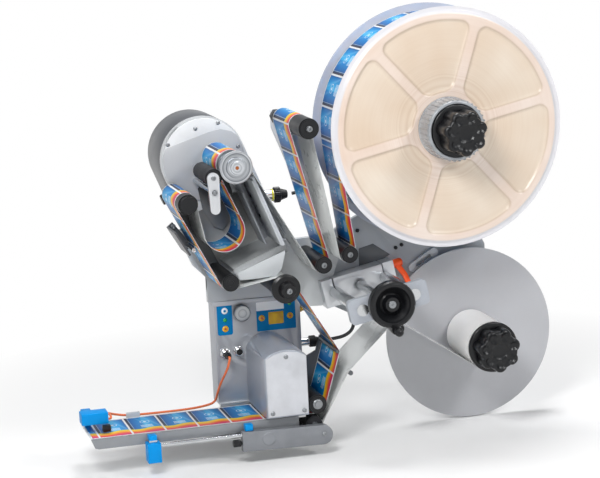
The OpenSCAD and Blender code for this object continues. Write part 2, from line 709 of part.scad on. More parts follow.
// tube along given points: rings square to the path, n sides
function unit(v) = v/norm(v);
function tang(p, i) = unit(p[min(i + 1, len(p) - 1)] - p[max(i - 1, 0)]);
function ringpts(c, t, r, n) = let (u = unit(cross(t, abs(t[2]) > 0.9 ? [0, 1, 0] : [0, 0, 1])), w = cross(t, u))
  [for (k = [0:n - 1]) c + r*(cos(k*360/n)*u + sin(k*360/n)*w)];
// rounded route: two passes of corner cutting between hand-set points
function cut(p) = concat([p[0]], [for (i = [0:len(p) - 2]) each [p[i]*0.75 + p[i + 1]*0.25, p[i]*0.25 + p[i + 1]*0.75]],
  [p[len(p) - 1]]);
module tube(p, d, n = 8) {
  q = cut(cut(p));
  m = len(q);
  pts = [for (i = [0:m - 1]) each ringpts(q[i], tang(q, i), d/2, n)];
  faces = concat([[for (k = [0:n - 1]) k]], [[for (k = [n - 1:-1:0]) (m - 1)*n + k]],
    [for (i = [0:m - 2], k = [0:n - 1]) let (a = i*n + k, b = i*n + (k + 1)%n) each [[a, b + n, b], [a, a + n, b + n]]]);
  polyhedron(pts, faces, convexity = 6);
}
sensor_route = [[-238, -130.9, -99], [-238, -138, -99], [-243, -134, -120], [-252, -116, -146], [-257, -106, -168],
  [-259, -100, -180], [-268, -97, -186], [-300, -96, -190], [-360, -96, -190], [-410, -96, -189], [-434, -96, -184],
  [-448, -120, -174], [-448, -150, -170], [-450, -168, -171], [-456.7, -170, -171]];
upper_route = [[-97.7, -62, 158], [-90, -62, 159], [-80, -62, 156], [-74, -63, 140], [-72, -66, 110], [-60, -69, 88],
  [-30, -71.2, 78], [-10.3, -71.2, 78]];
lower_route = [[-60.7, -84, -98], [-46, -84, -98], [-22, -82, -96], [-5, -76, -88], [0, -71.2, -74], [0, -71.2, -62],
  [0, -71.2, -54.3]];
gland_d = 13;
module sensor_cable() { color("#e8784a") tube(sensor_route, 4); }
module upper_cable() { color("#222327") tube(upper_route, 6); }
module lower_cable() { color("#222327") tube(lower_route, 6); }
// round plug standing along +X, with its coupling ring
module connector(l) {
  rotate([0, 90, 0]) {
    cylinder(d = 14, h = l*0.4, $fn = 48);
    translate([0, 0, l*0.4 - eps]) cylinder(d = 20, h = l*0.28, $fn = 48);
    translate([0, 0, l*0.68 - 2*eps]) cylinder(d = 15, h = l*0.32, $fn = 48);
  }
}
module connectors() {
  color("#222327") {
    translate([box_x + box_w + eps, plate_y + 16, -98]) connector(42);
    translate([-152, plate_y + 38, 158]) connector(54);
    translate([0, plate_y + plate_t + fit + 10 + gland_d/2, -54]) cylinder(d = gland_d, h = 22, $fn = 48);
    translate([-10, plate_y + plate_t + fit + 10 + gland_d/2, 78]) rotate([0, 90, 0]) cylinder(d = gland_d, h = 26, $fn = 48);
  }
}

stand_plate();
columns();
end_plate();
handwheel();
crank_knob();
slide_block();
clamp_lever();
carrier_plate();
main_plate();
axles();
drive_housing();
ring_plate();
side_wall();
reel_back_flange();
reel_front_flange();
reel_roll();
reel_hub();
reel_knob();
rewind_disc();
rewind_core();
rewind_knob();
dancer_arm();
dancer_roller();
guide_roller_right();
guide_roller_left();
drive_spindle();
nip_lever();
nip_roller();
loop_arm();
loop_roller();
low_roller();
turn_roller();
small_handwheel();
web_sensor();
control_box();
motor_cover();
dial();
key_white();
key_yellow();
key_minus();
key_plus();
sockets();
connectors();
sensor_plug();
guide_plate();
infeed_roller();
traction_roller();
paper_roller();
beak();
beak_bar();
guide_rod();
hold_down();
label_sensor();
web_supply();
web_dancer();
web_run();
backing();
sensor_cable();
upper_cable();
lower_cable();
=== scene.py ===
"""Looks of a labeling head: unwinder, dancer arm, drive unit, dispensing beak,
control box and rewinder, laid out as an add-on with one operator for each group."""
import bpy, bmesh, json, math
from mathutils import Matrix, Vector
from bpy.props import FloatProperty, FloatVectorProperty, IntProperty, PointerProperty

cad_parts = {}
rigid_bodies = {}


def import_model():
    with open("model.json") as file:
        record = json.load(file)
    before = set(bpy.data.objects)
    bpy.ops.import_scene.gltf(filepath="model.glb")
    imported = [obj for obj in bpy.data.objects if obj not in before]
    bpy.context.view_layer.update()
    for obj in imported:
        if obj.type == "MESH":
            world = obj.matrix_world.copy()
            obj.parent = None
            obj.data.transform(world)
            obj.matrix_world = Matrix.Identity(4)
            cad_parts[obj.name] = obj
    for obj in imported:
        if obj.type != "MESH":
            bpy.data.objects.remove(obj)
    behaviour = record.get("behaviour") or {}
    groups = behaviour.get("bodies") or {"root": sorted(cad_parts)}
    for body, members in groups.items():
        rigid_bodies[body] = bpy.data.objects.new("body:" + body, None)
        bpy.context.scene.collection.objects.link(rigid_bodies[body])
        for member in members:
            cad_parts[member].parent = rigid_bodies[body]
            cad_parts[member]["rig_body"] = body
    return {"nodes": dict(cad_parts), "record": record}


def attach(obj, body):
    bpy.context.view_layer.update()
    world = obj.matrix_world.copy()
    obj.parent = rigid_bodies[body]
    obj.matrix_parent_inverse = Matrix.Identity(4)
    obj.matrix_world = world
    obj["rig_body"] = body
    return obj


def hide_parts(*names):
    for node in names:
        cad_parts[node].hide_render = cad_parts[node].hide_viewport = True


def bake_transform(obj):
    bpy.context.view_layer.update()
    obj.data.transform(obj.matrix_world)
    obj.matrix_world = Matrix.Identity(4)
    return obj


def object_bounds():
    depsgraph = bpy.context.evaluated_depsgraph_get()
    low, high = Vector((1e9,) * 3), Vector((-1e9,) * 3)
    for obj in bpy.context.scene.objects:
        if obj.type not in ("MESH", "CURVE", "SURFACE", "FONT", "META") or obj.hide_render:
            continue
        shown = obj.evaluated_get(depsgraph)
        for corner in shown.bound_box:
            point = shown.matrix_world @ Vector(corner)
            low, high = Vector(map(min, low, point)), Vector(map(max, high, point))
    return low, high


bl_info = {
    "name": "Labeling Head",
    "version": (1, 0, 0),
    "blender": (4, 5, 0),
    "location": "View3D > Sidebar > Labeling Head",
    "description": "Builds the finishes and detailed pieces of a labeling head",
    "category": "Object",
}

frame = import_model()
CAD_BOX = [list(c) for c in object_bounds()]
SLOTS = {part["node"]: part["material_slot"] for part in frame["record"]["subparts"]}

# All lengths are in millimetres. Front plane of the plates in Y, and axes in X and Z
PLATE = -100.0
REEL, REWIND, DIAL = (133, 270), (198, -108), (-206.5, -31)
GUIDE_R, GUIDE_L, DANCER = (-45.8, 73.8), (-91, 60.4), (-118.7, 293.6)
DRIVE, LOOP, LOW, TURN = (-237, 239), (-314.6, 182.2), (-249, 46), (-158, 28)
FOLD, NOTCH, PAPER = (-71, -90), (-50, -129), (33, -60)
# Centre and lean of the drive unit, and the nip roller beside its drive roller
UNIT, LEAN = (-256.6, 234.8), math.radians(21.5)
NIP_REACH, NIP_WAY = 38, math.radians(204)
NIP = (DRIVE[0] + NIP_REACH * math.cos(NIP_WAY), DRIVE[1] + NIP_REACH * math.sin(NIP_WAY))
# Top and tip of the beak, and the rollers over and under it
BEAK_TOP, BEAK_X = -191.0, -489.0
INFEED, TRACT = (-111.5, BEAK_TOP + 17), (-118, BEAK_TOP - 17)
# Web: its edge next to the plates, width, thickness, and air under it where it passes a roller
WEB_BACK, WEB_W, WEB_T, GAP = -108.0, 104.0, 0.4, 0.3
SAG, SAG_R = (-252, 130), 34
ROLL_R, REWOUND_R, PEEL_R = 188.0, 42, 2
DIAMETER = {GUIDE_R: 28, GUIDE_L: 28, DANCER: 34, DRIVE: 46, LOOP: 33, LOW: 28, TURN: 36,
            FOLD: 6, INFEED: 32, TRACT: 28, NOTCH: 8, PAPER: 20}
# Ways that turned pieces point, from their foot
FORWARD, TO_RIGHT, TO_LEFT, DOWN = (0, -1, 0), (1, 0, 0), (-1, 0, 0), (0, 0, -1)
FINISH = {}


def linear(code):
    """sRGB hex colour as linear values with alpha 1."""
    parts = [int(code[i:i + 2], 16) / 255 for i in (1, 3, 5)]
    return tuple(c / 12.92 if c <= 0.04045 else ((c + 0.055) / 1.055) ** 2.4 for c in parts) + (1.0,)


def fill(tree, node, inputs):
    """Fills or links a node's inputs."""
    for key, value in inputs.items():
        if isinstance(value, bpy.types.NodeSocket):
            tree.links.new(value, node.inputs[key])
        else:
            node.inputs[key].default_value = value


def add(tree, kind, inputs=None, **settings):
    """Adds one node, sets its settings, and fills or links its inputs."""
    node = tree.nodes.new(kind)
    for key, value in settings.items():
        setattr(node, key, value)
    fill(tree, node, inputs or {})
    return node


def calc(tree, operation, *values):
    """Result of one math node."""
    return add(tree, "ShaderNodeMath", dict(enumerate(values)), operation=operation).outputs[0]


def vector(tree, operation, *values, socket=0):
    """Result of one vector math node."""
    return add(tree, "ShaderNodeVectorMath", dict(enumerate(values)), operation=operation).outputs[socket]


def mix(tree, share, first, second, kind="MIX"):
    """Two colours mixed by a share."""
    inputs = {"Fac": share, "Color1": first, "Color2": second}
    return add(tree, "ShaderNodeMixRGB", inputs, blend_type=kind).outputs[0]


def scaled(tree, value, low, high, to_low=0.0, to_high=1.0):
    """A value mapped from one span to another."""
    inputs = {"Value": value, "From Min": low, "From Max": high, "To Min": to_low, "To Max": to_high}
    return add(tree, "ShaderNodeMapRange", inputs).outputs[0]


def noise(tree, place, scale, detail=2.0, rough=0.5):
    """Noise in space."""
    inputs = {"Vector": place, "Scale": scale, "Detail": detail, "Roughness": rough}
    return add(tree, "ShaderNodeTexNoise", inputs).outputs["Fac"]


def noise_along(tree, value, scale, detail=2.0, rough=0.5):
    """Noise along one value."""
    inputs = {"W": value, "Scale": scale, "Detail": detail, "Roughness": rough}
    return add(tree, "ShaderNodeTexNoise", inputs, noise_dimensions="1D").outputs["Fac"]


def relief(tree, shader, height, strength, distance, invert=False):
    """Links a bump to the shader's normal."""
    inputs = {"Height": height, "Strength": strength, "Distance": distance}
    tree.links.new(add(tree, "ShaderNodeBump", inputs, invert=invert).outputs[0], shader.inputs["Normal"])


def ramp(tree, factor, stops, mode="LINEAR"):
    """Colour ramp with (position, hex) stops."""
    node = add(tree, "ShaderNodeValToRGB", {"Fac": factor})
    node.color_ramp.interpolation = mode
    band = node.color_ramp.elements
    while len(band) < len(stops):
        band.new(0.5)
    for element, (place, code) in zip(band, stops):
        element.position = place
        element.color = linear(code)
    return node.outputs["Color"]


def bands(tree, factor, tones, *edges):
    """Hard bands along a value, from 0 over each edge, in two tones by turns."""
    stops = [(place, tones[i % 2]) for i, place in enumerate((0.0,) + edges)]
    return ramp(tree, factor, stops, "CONSTANT")


def radius_about(tree, place, centre):
    """Distance in metres from an axis along Y."""
    moved = vector(tree, "SUBTRACT", place, (centre[0] / 1000, 0, centre[1] / 1000))
    flat = vector(tree, "MULTIPLY", moved, (1, 0, 1))
    return vector(tree, "LENGTH", flat, socket="Value")


def start(name):
    """A new material with its shader, and object coordinates in metres."""
    material = bpy.data.materials.new(name)
    material.use_nodes = True
    tree = material.node_tree
    tree.nodes.clear()
    shader = add(tree, "ShaderNodeBsdfPrincipled")
    add(tree, "ShaderNodeOutputMaterial", {"Surface": shader.outputs[0]})
    place = add(tree, "ShaderNodeTexCoord").outputs["Object"]
    return material, tree, shader, place


def finish(name, colour, rough, metallic=0.0, mottle=0.06, grain=0.0008, bump=0.05, brush=None,
           coat=0.0, coat_rough=0.1, edge=None, specular=0.5):
    """A finish with mottled colour, uneven roughness, a fine grain of the given size in metres,
    optional brush lines along one axis, and optional paler edges where a surface is worn."""
    material, tree, shader, place = start(name)
    cloud = noise(tree, place, 22.0, 4.0, 0.6)
    value = scaled(tree, cloud, 0.3, 0.7, 1 - mottle, 1 + mottle * 0.6)
    base = add(tree, "ShaderNodeHueSaturation", {"Color": linear(colour), "Value": value}).outputs[0]
    if edge:
        pointiness = add(tree, "ShaderNodeNewGeometry").outputs["Pointiness"]
        base = mix(tree, scaled(tree, pointiness, 0.52, 0.6), base, linear(edge))
    fill(tree, shader, {
        "Base Color": base,
        "Metallic": metallic,
        "Roughness": scaled(tree, cloud, 0.3, 0.7, rough * 0.88, min(1.0, rough * 1.14)),
        "Specular IOR Level": specular,
        "Coat Weight": coat,
        "Coat Roughness": coat_rough,
    })
    if brush:
        stretch = add(tree, "ShaderNodeMapping", {"Vector": place, "Scale": brush}).outputs[0]
        fine = noise(tree, stretch, 1.0, 3.0)
    else:
        fine = noise(tree, place, 1 / grain, 2.0)
    relief(tree, shader, fine, bump, 0.0006)
    return material


def turned(name, colour, bright, centre, rough):
    """Turned metal: fine rings about an axis along Y, as a lathe tool leaves them. The wide
    rings are 6 mm apart, coarser than the tool's, so that they are seen from afar."""
    material, tree, shader, place = start(name)
    radius = radius_about(tree, place, centre)
    fill(tree, shader, {
        "Base Color": ramp(tree, noise_along(tree, radius, 160.0), [(0.35, colour), (0.6, bright)]),
        "Metallic": 1.0,
        "Roughness": rough,
        "Anisotropic": 0.7,
        "Tangent": add(tree, "ShaderNodeTangent", direction_type="RADIAL", axis="Y").outputs[0],
    })
    relief(tree, shader, noise_along(tree, radius, 900.0), 0.4, 0.0004)
    return material


def label_print():
    """Printed labels of 52 mm on a 55 mm pitch: two blues with a light sweep, a ring and a disc,
    a navy strip and a warm wavy border on the operator's side. U runs along the web, V across."""
    pitch, width = 0.055, WEB_W / 1000
    black_first, white_first = ("#000000", "#ffffff"), ("#ffffff", "#000000")
    material, tree, shader, _ = start("gloss printed label paper")
    uv = add(tree, "ShaderNodeSeparateXYZ", {0: add(tree, "ShaderNodeUVMap", uv_map="web").outputs[0]})
    t = calc(tree, "FRACT", calc(tree, "MULTIPLY", uv.outputs["X"], 1 / pitch))
    v = uv.outputs["Y"]
    field = ramp(tree, t, [
        (0.0, "#00488a"), (0.10, "#0079c0"), (0.30, "#00a2e2"), (0.46, "#2fb6ea"), (0.52, "#008cd0"),
        (0.76, "#006cb4"), (0.87, "#00559a"), (0.875, "#c9dce6"), (0.89, "#14406c"), (0.93, "#2b3146"),
        (0.95, "#3a2f38")])
    shade = ramp(tree, v, [(0.0, "#b8c4d0"), (0.25, "#ffffff"), (0.7, "#ffffff")])
    field = mix(tree, 0.6, field, shade, "MULTIPLY")
    sweep = ramp(tree, calc(tree, "MULTIPLY_ADD", v, 0.55, t), [
        (0.0, "#000000"), (0.34, "#000000"), (0.44, "#8f8f8f"), (0.47, "#101010"), (0.6, "#202020"),
        (0.68, "#707070"), (0.74, "#000000")])
    field = mix(tree, sweep, field, linear("#9fdcf7"))
    # pale disc and ring
    along, across = calc(tree, "MULTIPLY", t, pitch), calc(tree, "MULTIPLY", v, width)
    here = add(tree, "ShaderNodeCombineXYZ", {0: along, 1: across}).outputs[0]
    away = vector(tree, "DISTANCE", here, (0.0235, 0.034, 0), socket="Value")
    ring = bands(tree, calc(tree, "MULTIPLY", away, 50.0), white_first, 0.14, 0.36, 0.41)
    field = mix(tree, ring, field, linear("#e9f2f8"))
    # small bars under the ring
    stripes = {"Vector": here, "Scale": 60.0, "Distortion": 0.0}
    stripes = add(tree, "ShaderNodeTexWave", stripes, bands_direction="Y").outputs["Fac"]
    mask = bands(tree, stripes, black_first, 0.62)
    mask = mix(tree, 1.0, mask, bands(tree, v, black_first, 0.5, 0.66), "MULTIPLY")
    mask = mix(tree, 1.0, mask, bands(tree, t, black_first, 0.26, 0.62), "MULTIPLY")
    field = mix(tree, mask, field, linear("#dfeefa"))
    # warm border with a wavy edge
    wave = calc(tree, "SINE", calc(tree, "MULTIPLY", t, 2 * math.pi))
    edge = calc(tree, "MULTIPLY_ADD", wave, 0.035, v)
    warm = ramp(tree, edge, [
        (0.69, "#9fc04a"), (0.74, "#f3d22c"), (0.82, "#f29a2c"), (0.89, "#e4513f"), (0.97, "#cc2f74")])
    field = mix(tree, bands(tree, edge, black_first, 0.70), field, warm)
    # bare margins: between the labels, and along both edges of the web
    gap = bands(tree, t, white_first, 0.03, 0.97)
    rim = bands(tree, v, white_first, 0.02, 0.975)
    margin = mix(tree, 1.0, gap, rim, "LIGHTEN")
    fill(tree, shader, {
        "Base Color": mix(tree, margin, field, linear("#e4e6e6")),
        "Roughness": 0.34,
        "Specular IOR Level": 0.1,
        "Coat Weight": 0.05,
        "Coat Roughness": 0.08,
    })
    relief(tree, shader, margin, 0.4, 0.0002, invert=True)
    return material


def formed_sheet():
    """Vacuum formed polystyrene, cream and a little see-through: the roll behind it shows as
    faint rings near the hub, the panes' walls are darker, and the rim is nearly clear."""
    material, tree, shader, place = start("formed cream polystyrene")
    radius = radius_about(tree, place, REEL)
    quarters = calc(tree, "MULTIPLY", radius, 4.0)
    patches = noise(tree, place, 9.0)
    rings = noise_along(tree, calc(tree, "MULTIPLY_ADD", patches, 0.012, radius), 190.0, 3.0, 0.7)
    pane = add(tree, "ShaderNodeAttribute", attribute_name="pane").outputs["Fac"]
    tone = ramp(tree, pane, [(0.0, "#e7d9cf"), (0.35, "#cfbeac"), (0.6, "#ddd0c0"), (1.0, "#e0d3c3")])
    ring_tone = ramp(tree, rings, [(0.38, "#e4d5c6"), (0.55, "#ffffff")])
    near_hub = ramp(tree, quarters, [(0.28, "#9a9a9a"), (0.5, "#4a4a4a")])
    tone = mix(tree, near_hub, tone, ring_tone, "MULTIPLY")
    cloud = ramp(tree, patches, [(0.3, "#efe3d8"), (0.7, "#ffffff")])
    tone = mix(tree, 0.8, tone, cloud, "MULTIPLY")
    rim = ramp(tree, quarters, [(0.0, "#000000"), (0.752, "#000000"), (0.762, "#ffffff")])
    fill(tree, shader, {
        "Base Color": mix(tree, rim, tone, linear("#d9d8dc")),
        "Roughness": 0.34,
        "Coat Weight": 0.25,
        "Coat Roughness": 0.15,
    })
    relief(tree, shader, rings, 0.06, 0.0006)
    return material


def chamber_sheet():
    """Grey sheet of the drive chamber, darker towards the drive roller at the top: painted shade."""
    material = finish("grey anodised chamber sheet with painted shade", "#c9cac8", 0.5, metallic=0.1, mottle=0.08,
                      grain=0.0012)
    tree = material.node_tree
    shader = next(node for node in tree.nodes if node.type == "BSDF_PRINCIPLED")
    unshaded = shader.inputs["Base Color"].links[0].from_socket
    place = add(tree, "ShaderNodeTexCoord").outputs["Object"]
    height = add(tree, "ShaderNodeSeparateXYZ", {0: place}).outputs["Z"]
    # painted shade: the sheet darkens with height, towards the drive roller
    painted_shade = ramp(tree, scaled(tree, height, 0.085, 0.185), [
        (0.0, "#ffffff"), (0.4, "#a5a6a7"), (1.0, "#4b4d51")])
    fill(tree, shader, {"Base Color": mix(tree, 1.0, unshaded, painted_shade, "MULTIPLY")})
    return material


def display_glass():
    """Backlit display under a gloss window: warm yellow with soft uneven light."""
    material, tree, shader, place = start("yellow backlit display")
    fill(tree, shader, {
        "Base Color": ramp(tree, noise(tree, place, 70.0, 1.0), [(0.3, "#c59200"), (0.7, "#e6b800")]),
        "Roughness": 0.15,
        "Specular IOR Level": 0.2,
        "Coat Weight": 0.2,
    })
    return material


def finishes():
    """Every finish of the head, by the name of the record's slot or of the piece."""
    table = {
        # Cast and bent parts under enamel: a soft gloss over shallow dimples, paler at worn edges
        "cast_grey": ("light grey hammered enamel", "#a3a7aa", 0.38, dict(
            mottle=0.07, grain=0.0022, bump=0.16, coat=0.25, coat_rough=0.25, edge="#c4c7c9")),
        "plate_grey": ("light grey satin enamel", "#aaaeb3", 0.42, dict(
            mottle=0.05, grain=0.0016, bump=0.08, coat=0.15, coat_rough=0.3, edge="#c8cbce")),
        "housing_grey": ("mid grey satin enamel", "#4c4e52", 0.4, dict(
            mottle=0.05, grain=0.0018, bump=0.1, coat=0.2, coat_rough=0.3)),
        "dark_plate": ("dark grey satin enamel", "#55585c", 0.36, dict(grain=0.0014, bump=0.06, coat=0.2)),
        "end_plate": ("pale blue grey enamel", "#a7acb4", 0.36, dict(
            mottle=0.04, grain=0.0016, bump=0.06, coat=0.2)),
        "apron": ("pale satin enamel", "#bfc3c6", 0.36, dict(mottle=0.04, grain=0.0016, coat=0.2)),
        # Clear anodised aluminium: bright and silky, with fine milling lines or a fine grain
        "aluminium_milled": ("milled anodised aluminium", "#d2d4d7", 0.36, dict(
            metallic=0.85, mottle=0.04, bump=0.12, brush=(60, 60, 1600))),
        "aluminium_disc": ("matt anodised aluminium sheet", "#b9babe", 0.5, dict(
            metallic=0.15, mottle=0.03, brush=(1400, 60, 60))),
        "aluminium_turned": ("fine ground anodised aluminium", "#d6d8db", 0.4, dict(
            metallic=0.75, mottle=0.03, bump=0.04, brush=(900, 60, 60))),
        "ring_plate": ("bright anodised plate", "#dcdee0", 0.45, dict(
            metallic=0.2, mottle=0.03, grain=0.0012, bump=0.04)),
        "inset": ("satin anodised sheet", "#b3b5b8", 0.5, dict(
            metallic=0.25, mottle=0.04, grain=0.0012, bump=0.04)),
        "side_wall": ("light anodised side wall", "#b9bdc3", 0.4, dict(
            metallic=0.15, mottle=0.05, grain=0.0014)),
        "lip": ("bent grey anodised sheet", "#8d9094", 0.4, dict(metallic=0.2, mottle=0.08, grain=0.0016)),
        # Raw cast aluminium: dull and cloudy
        "bar_end": ("dull cast aluminium", "#85888d", 0.42, dict(
            metallic=0.25, mottle=0.14, grain=0.003, bump=0.14)),
        "cover": ("satin cast aluminium", "#aab0ba", 0.32, dict(
            metallic=0.3, mottle=0.1, grain=0.012, bump=0.2)),
        # Steel: ground bars and sheets whose fine lines draw out reflections, and a blasted one
        "steel_bar": ("ground steel bar", "#cfd1d3", 0.22, dict(
            metallic=1.0, mottle=0.03, bump=0.015, brush=(900, 40, 900))),
        "stainless_sheet": ("ground stainless sheet", "#bfc1c2", 0.34, dict(
            metallic=1.0, bump=0.12, brush=(30, 1500, 1500))),
        "cover_plate": ("ground stainless sheet of the cover", "#cfd1d6", 0.34, dict(
            metallic=0.6, mottle=0.12, grain=0.03, bump=0.12)),
        "zinc_plate": ("bead blasted stainless sheet", "#aeb1b6", 0.45, dict(
            metallic=0.55, mottle=0.04, grain=0.0012, bump=0.1)),
        # Small plated and bare metal parts: sharp highlights
        "socket_metal": ("nickel plated brass", "#d8d9da", 0.16, dict(
            metallic=1.0, mottle=0.05, bump=0.04)),
        "screw": ("zinc plated steel screw", "#96999c", 0.34, dict(metallic=1.0, mottle=0.1, bump=0.06)),
        "dark_screw": ("blackened steel screw", "#2c2d30", 0.35, dict(metallic=0.7, mottle=0.1, bump=0.06)),
        "brass": ("turned brass", "#c39a3c", 0.25, dict(metallic=1.0, mottle=0.08)),
        "copper": ("copper coloured hexagon bolt", "#b0673c", 0.3, dict(metallic=1.0, mottle=0.1)),
        # Moulded nylon, polyamide and rubber: black with a soft sheen
        "black_plastic": ("moulded black nylon", "#0c0d10", 0.3, dict(
            mottle=0.2, grain=0.0012, bump=0.1, specular=0.4)),
        "roller_black": ("turned black polyamide", "#121316", 0.36, dict(
            mottle=0.15, bump=0.1, brush=(500, 1500, 500), specular=0.35)),
        "black_rubber": ("black rubber sleeve", "#222326", 0.62, dict(
            mottle=0.15, grain=0.001, bump=0.2, specular=0.3)),
        # Pale see-through plastics, shown frosted: milky with a clear coat over them
        "flange_clear": ("pale clear sheet", "#c3c6d2", 0.25, dict(mottle=0.05, bump=0.03, coat=0.4)),
        "hub_clear": ("frosted moulded acrylic", "#a6aaaf", 0.25, dict(
            mottle=0.3, grain=0.004, bump=0.25, coat=0.4, coat_rough=0.2)),
        # Paper: matt with fine edges of the turns, or smooth with a silicone sheen
        "core_white": ("wound glassine paper", "#f7f6f4", 0.5, dict(
            mottle=0.03, bump=0.15, brush=(40, 2500, 40))),
        "paper_white": ("silicone coated glassine", "#e7e9e8", 0.28, dict(
            mottle=0.03, grain=0.003, bump=0.04, coat=0.2)),
        # Coloured mouldings, cable jackets and keys: strong plain colours
        "orange": ("moulded orange nylon", "#f4520c", 0.36, dict(grain=0.001, bump=0.08, coat=0.15)),
        "bright_blue": ("moulded bright blue nylon", "#0090dc", 0.45, dict(
            mottle=0.05, grain=0.001, bump=0.08, specular=0.15)),
        "yellow_ring": ("moulded yellow nylon", "#e6e03a", 0.4, dict(mottle=0.05)),
        "cable_orange": ("orange cable jacket", "#ea7746", 0.5, dict(mottle=0.05)),
        "cable_black": ("black cable jacket", "#1b1c1e", 0.5, dict(mottle=0.1, bump=0.06)),
        "key_white": ("clear capped white key", "#f1f5f7", 0.2, dict(mottle=0.03, coat=0.6)),
        "key_yellow": ("clear capped yellow key", "#e8b01c", 0.2, dict(coat=0.6)),
        "key_mark": ("orange printed key mark", "#c9501a", 0.4, dict(mottle=0.03)),
        "lens_green": ("green moulded lens", "#1aa04c", 0.18, dict(mottle=0.1, coat=0.7)),
        # Printed foil of the control panel: flat colour with a fine grain
        "panel_blue": ("screen printed blue polyester", "#0078b4", 0.55, dict(
            mottle=0.03, grain=0.0007, specular=0.12)),
        "panel_white": ("white printed polyester", "#f3f5f6", 0.36, dict(
            mottle=0.02, grain=0.0007, coat=0.2)),
    }
    made = {key: finish(name, colour, rough, **more) for key, (name, colour, rough, more) in table.items()}
    made["spindle"] = turned("bright turned aluminium", "#7f8388", "#d3d6da", DRIVE, 0.34)
    made["dial"] = turned("spun aluminium dial", "#66696c", "#a6a9ac", DIAL, 0.3)
    made["chamber"] = chamber_sheet()
    made["display"] = display_glass()
    made["flange_cream"] = formed_sheet()
    made["labels"] = label_print()
    return made


def put(name, shape, paint, body="head", sharp=32, solid=True, replaces=()):
    """Makes a piece from points in millimetres and faces, with a finish, and sets it on its body."""
    verts, faces = shape
    mesh = bpy.data.meshes.new(name)
    mesh.from_pydata([(x / 1000, y / 1000, z / 1000) for x, y, z in verts], [], faces)
    if solid:
        work = bmesh.new()
        work.from_mesh(mesh)
        bmesh.ops.recalc_face_normals(work, faces=work.faces)
        work.to_mesh(mesh)
        work.free()
    if sharp:
        smooth(mesh, sharp)
    mesh.materials.append(FINISH[paint])
    obj = link(name, mesh)
    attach(obj, body)
    if replaces:
        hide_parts(*replaces)
    return obj


def link(name, data):
    """A new object in the scene."""
    obj = bpy.data.objects.new(name, data)
    bpy.context.scene.collection.objects.link(obj)
    return obj


def smooth(mesh, sharp):
    """Smooth shading, with edges sharper than an angle in degrees left hard."""
    mesh.shade_smooth()
    mesh.set_sharp_from_angle(angle=math.radians(sharp))


def quads(low, high, steps):
    """Faces between two rings of points, from their first points' numbers."""
    ring = [(k, (k + 1) % steps) for k in range(steps)]
    return [(low + k, low + j, high + j, high + k) for k, j in ring]


def circle(centre, radius, y, steps):
    """A ring of points about an axis along Y."""
    angles = [2 * math.pi * k / steps for k in range(steps)]
    return [(centre[0] + radius * math.cos(a), y, centre[1] + radius * math.sin(a)) for a in angles]


def lathe(profile, centre, steps=64):
    """Rings about an axis along Y: profile holds (radius, y) in millimetres, and a radius of 0
    closes its end with a point."""
    verts, faces, rows = [], [], []
    for r, y in profile:
        rows.append(len(verts))
        verts += circle(centre, r, y, steps) if r > 0 else [(centre[0], y, centre[1])]
    for (r0, _), (r1, _), a, b in zip(profile, profile[1:], rows, rows[1:]):
        for k in range(steps):
            j = (k + 1) % steps
            if r0 > 0 and r1 > 0:
                faces.append((a + k, a + j, b + j, b + k))
            elif r0 > 0:
                faces.append((a + k, a + j, b))
            elif r1 > 0:
                faces.append((a, b + j, b + k))
    if profile[0][0] > 0:
        faces.append(tuple(range(rows[0], rows[0] + steps)))
    if profile[-1][0] > 0:
        faces.append(tuple(reversed(range(rows[-1], rows[-1] + steps))))
    return verts, faces


def spun(name, profile, foot, axis, paint, body="head", steps=48, sharp=32, ribs=0,
         rib=0.0, replaces=()):
    """A turned piece: profile holds (radius, distance from the foot along the axis), and ribs
    is the number of knurls of the given depth on its widest rings. A profile that ends where it
    starts makes a hollow ring."""
    along = Vector(axis).normalized()
    side = along.orthogonal().normalized()
    other = along.cross(side)
    crown = max(r for r, _ in profile) - 0.6
    verts, faces, rows = [], [], []
    hollow = profile[0] == profile[-1] and profile[0][0] > 0
    for r, h in profile[:-1] if hollow else profile:
        row = []
        for k in range(steps if r > 0 else 1):
            a = 2 * math.pi * k / steps
            reach = r
            if ribs and r > crown:
                reach -= rib * (0.5 + 0.5 * math.cos(ribs * a))
            row.append(len(verts))
            outward = math.cos(a) * side + math.sin(a) * other
            verts.append(tuple(Vector(foot) + h * along + reach * outward))
        rows.append(row)
    for a, b in zip(rows, rows[1:] + rows[:1] if hollow else rows[1:]):
        for k in range(steps):
            ring = [a[k % len(a)], a[(k + 1) % len(a)], b[(k + 1) % len(b)], b[k % len(b)]]
            face = tuple(dict.fromkeys(ring))
            if len(face) > 2:
                faces.append(face)
    if not hollow:
        faces += [tuple(row) for row in (rows[0], rows[-1]) if len(row) > 1]
    return put(name, (verts, faces), paint, body, sharp=sharp, replaces=replaces)


def prism(outline, front, back):
    """A plate in X and Z between two Y planes."""
    n = len(outline)
    verts = [(x, y, z) for y in (front, back) for x, z in outline]
    faces = [tuple(range(n)), tuple(range(2 * n - 1, n - 1, -1))]
    faces += [(k, n + k, n + (k + 1) % n, (k + 1) % n) for k in range(n)]
    return verts, faces


def soften(obj, width, angle=30):
    """Rounds a piece's edges by a width in millimetres, and keeps the result as its mesh."""
    bevel = obj.modifiers.new("edge", "BEVEL")
    bevel.width = width / 1000
    bevel.segments = 2
    bevel.limit_method = "ANGLE"
    bevel.angle_limit = math.radians(angle)
    bevel.harden_normals = False
    view = bpy.context.evaluated_depsgraph_get()
    made = bpy.data.meshes.new_from_object(obj.evaluated_get(view))
    obj.modifiers.clear()
    obj.data = made


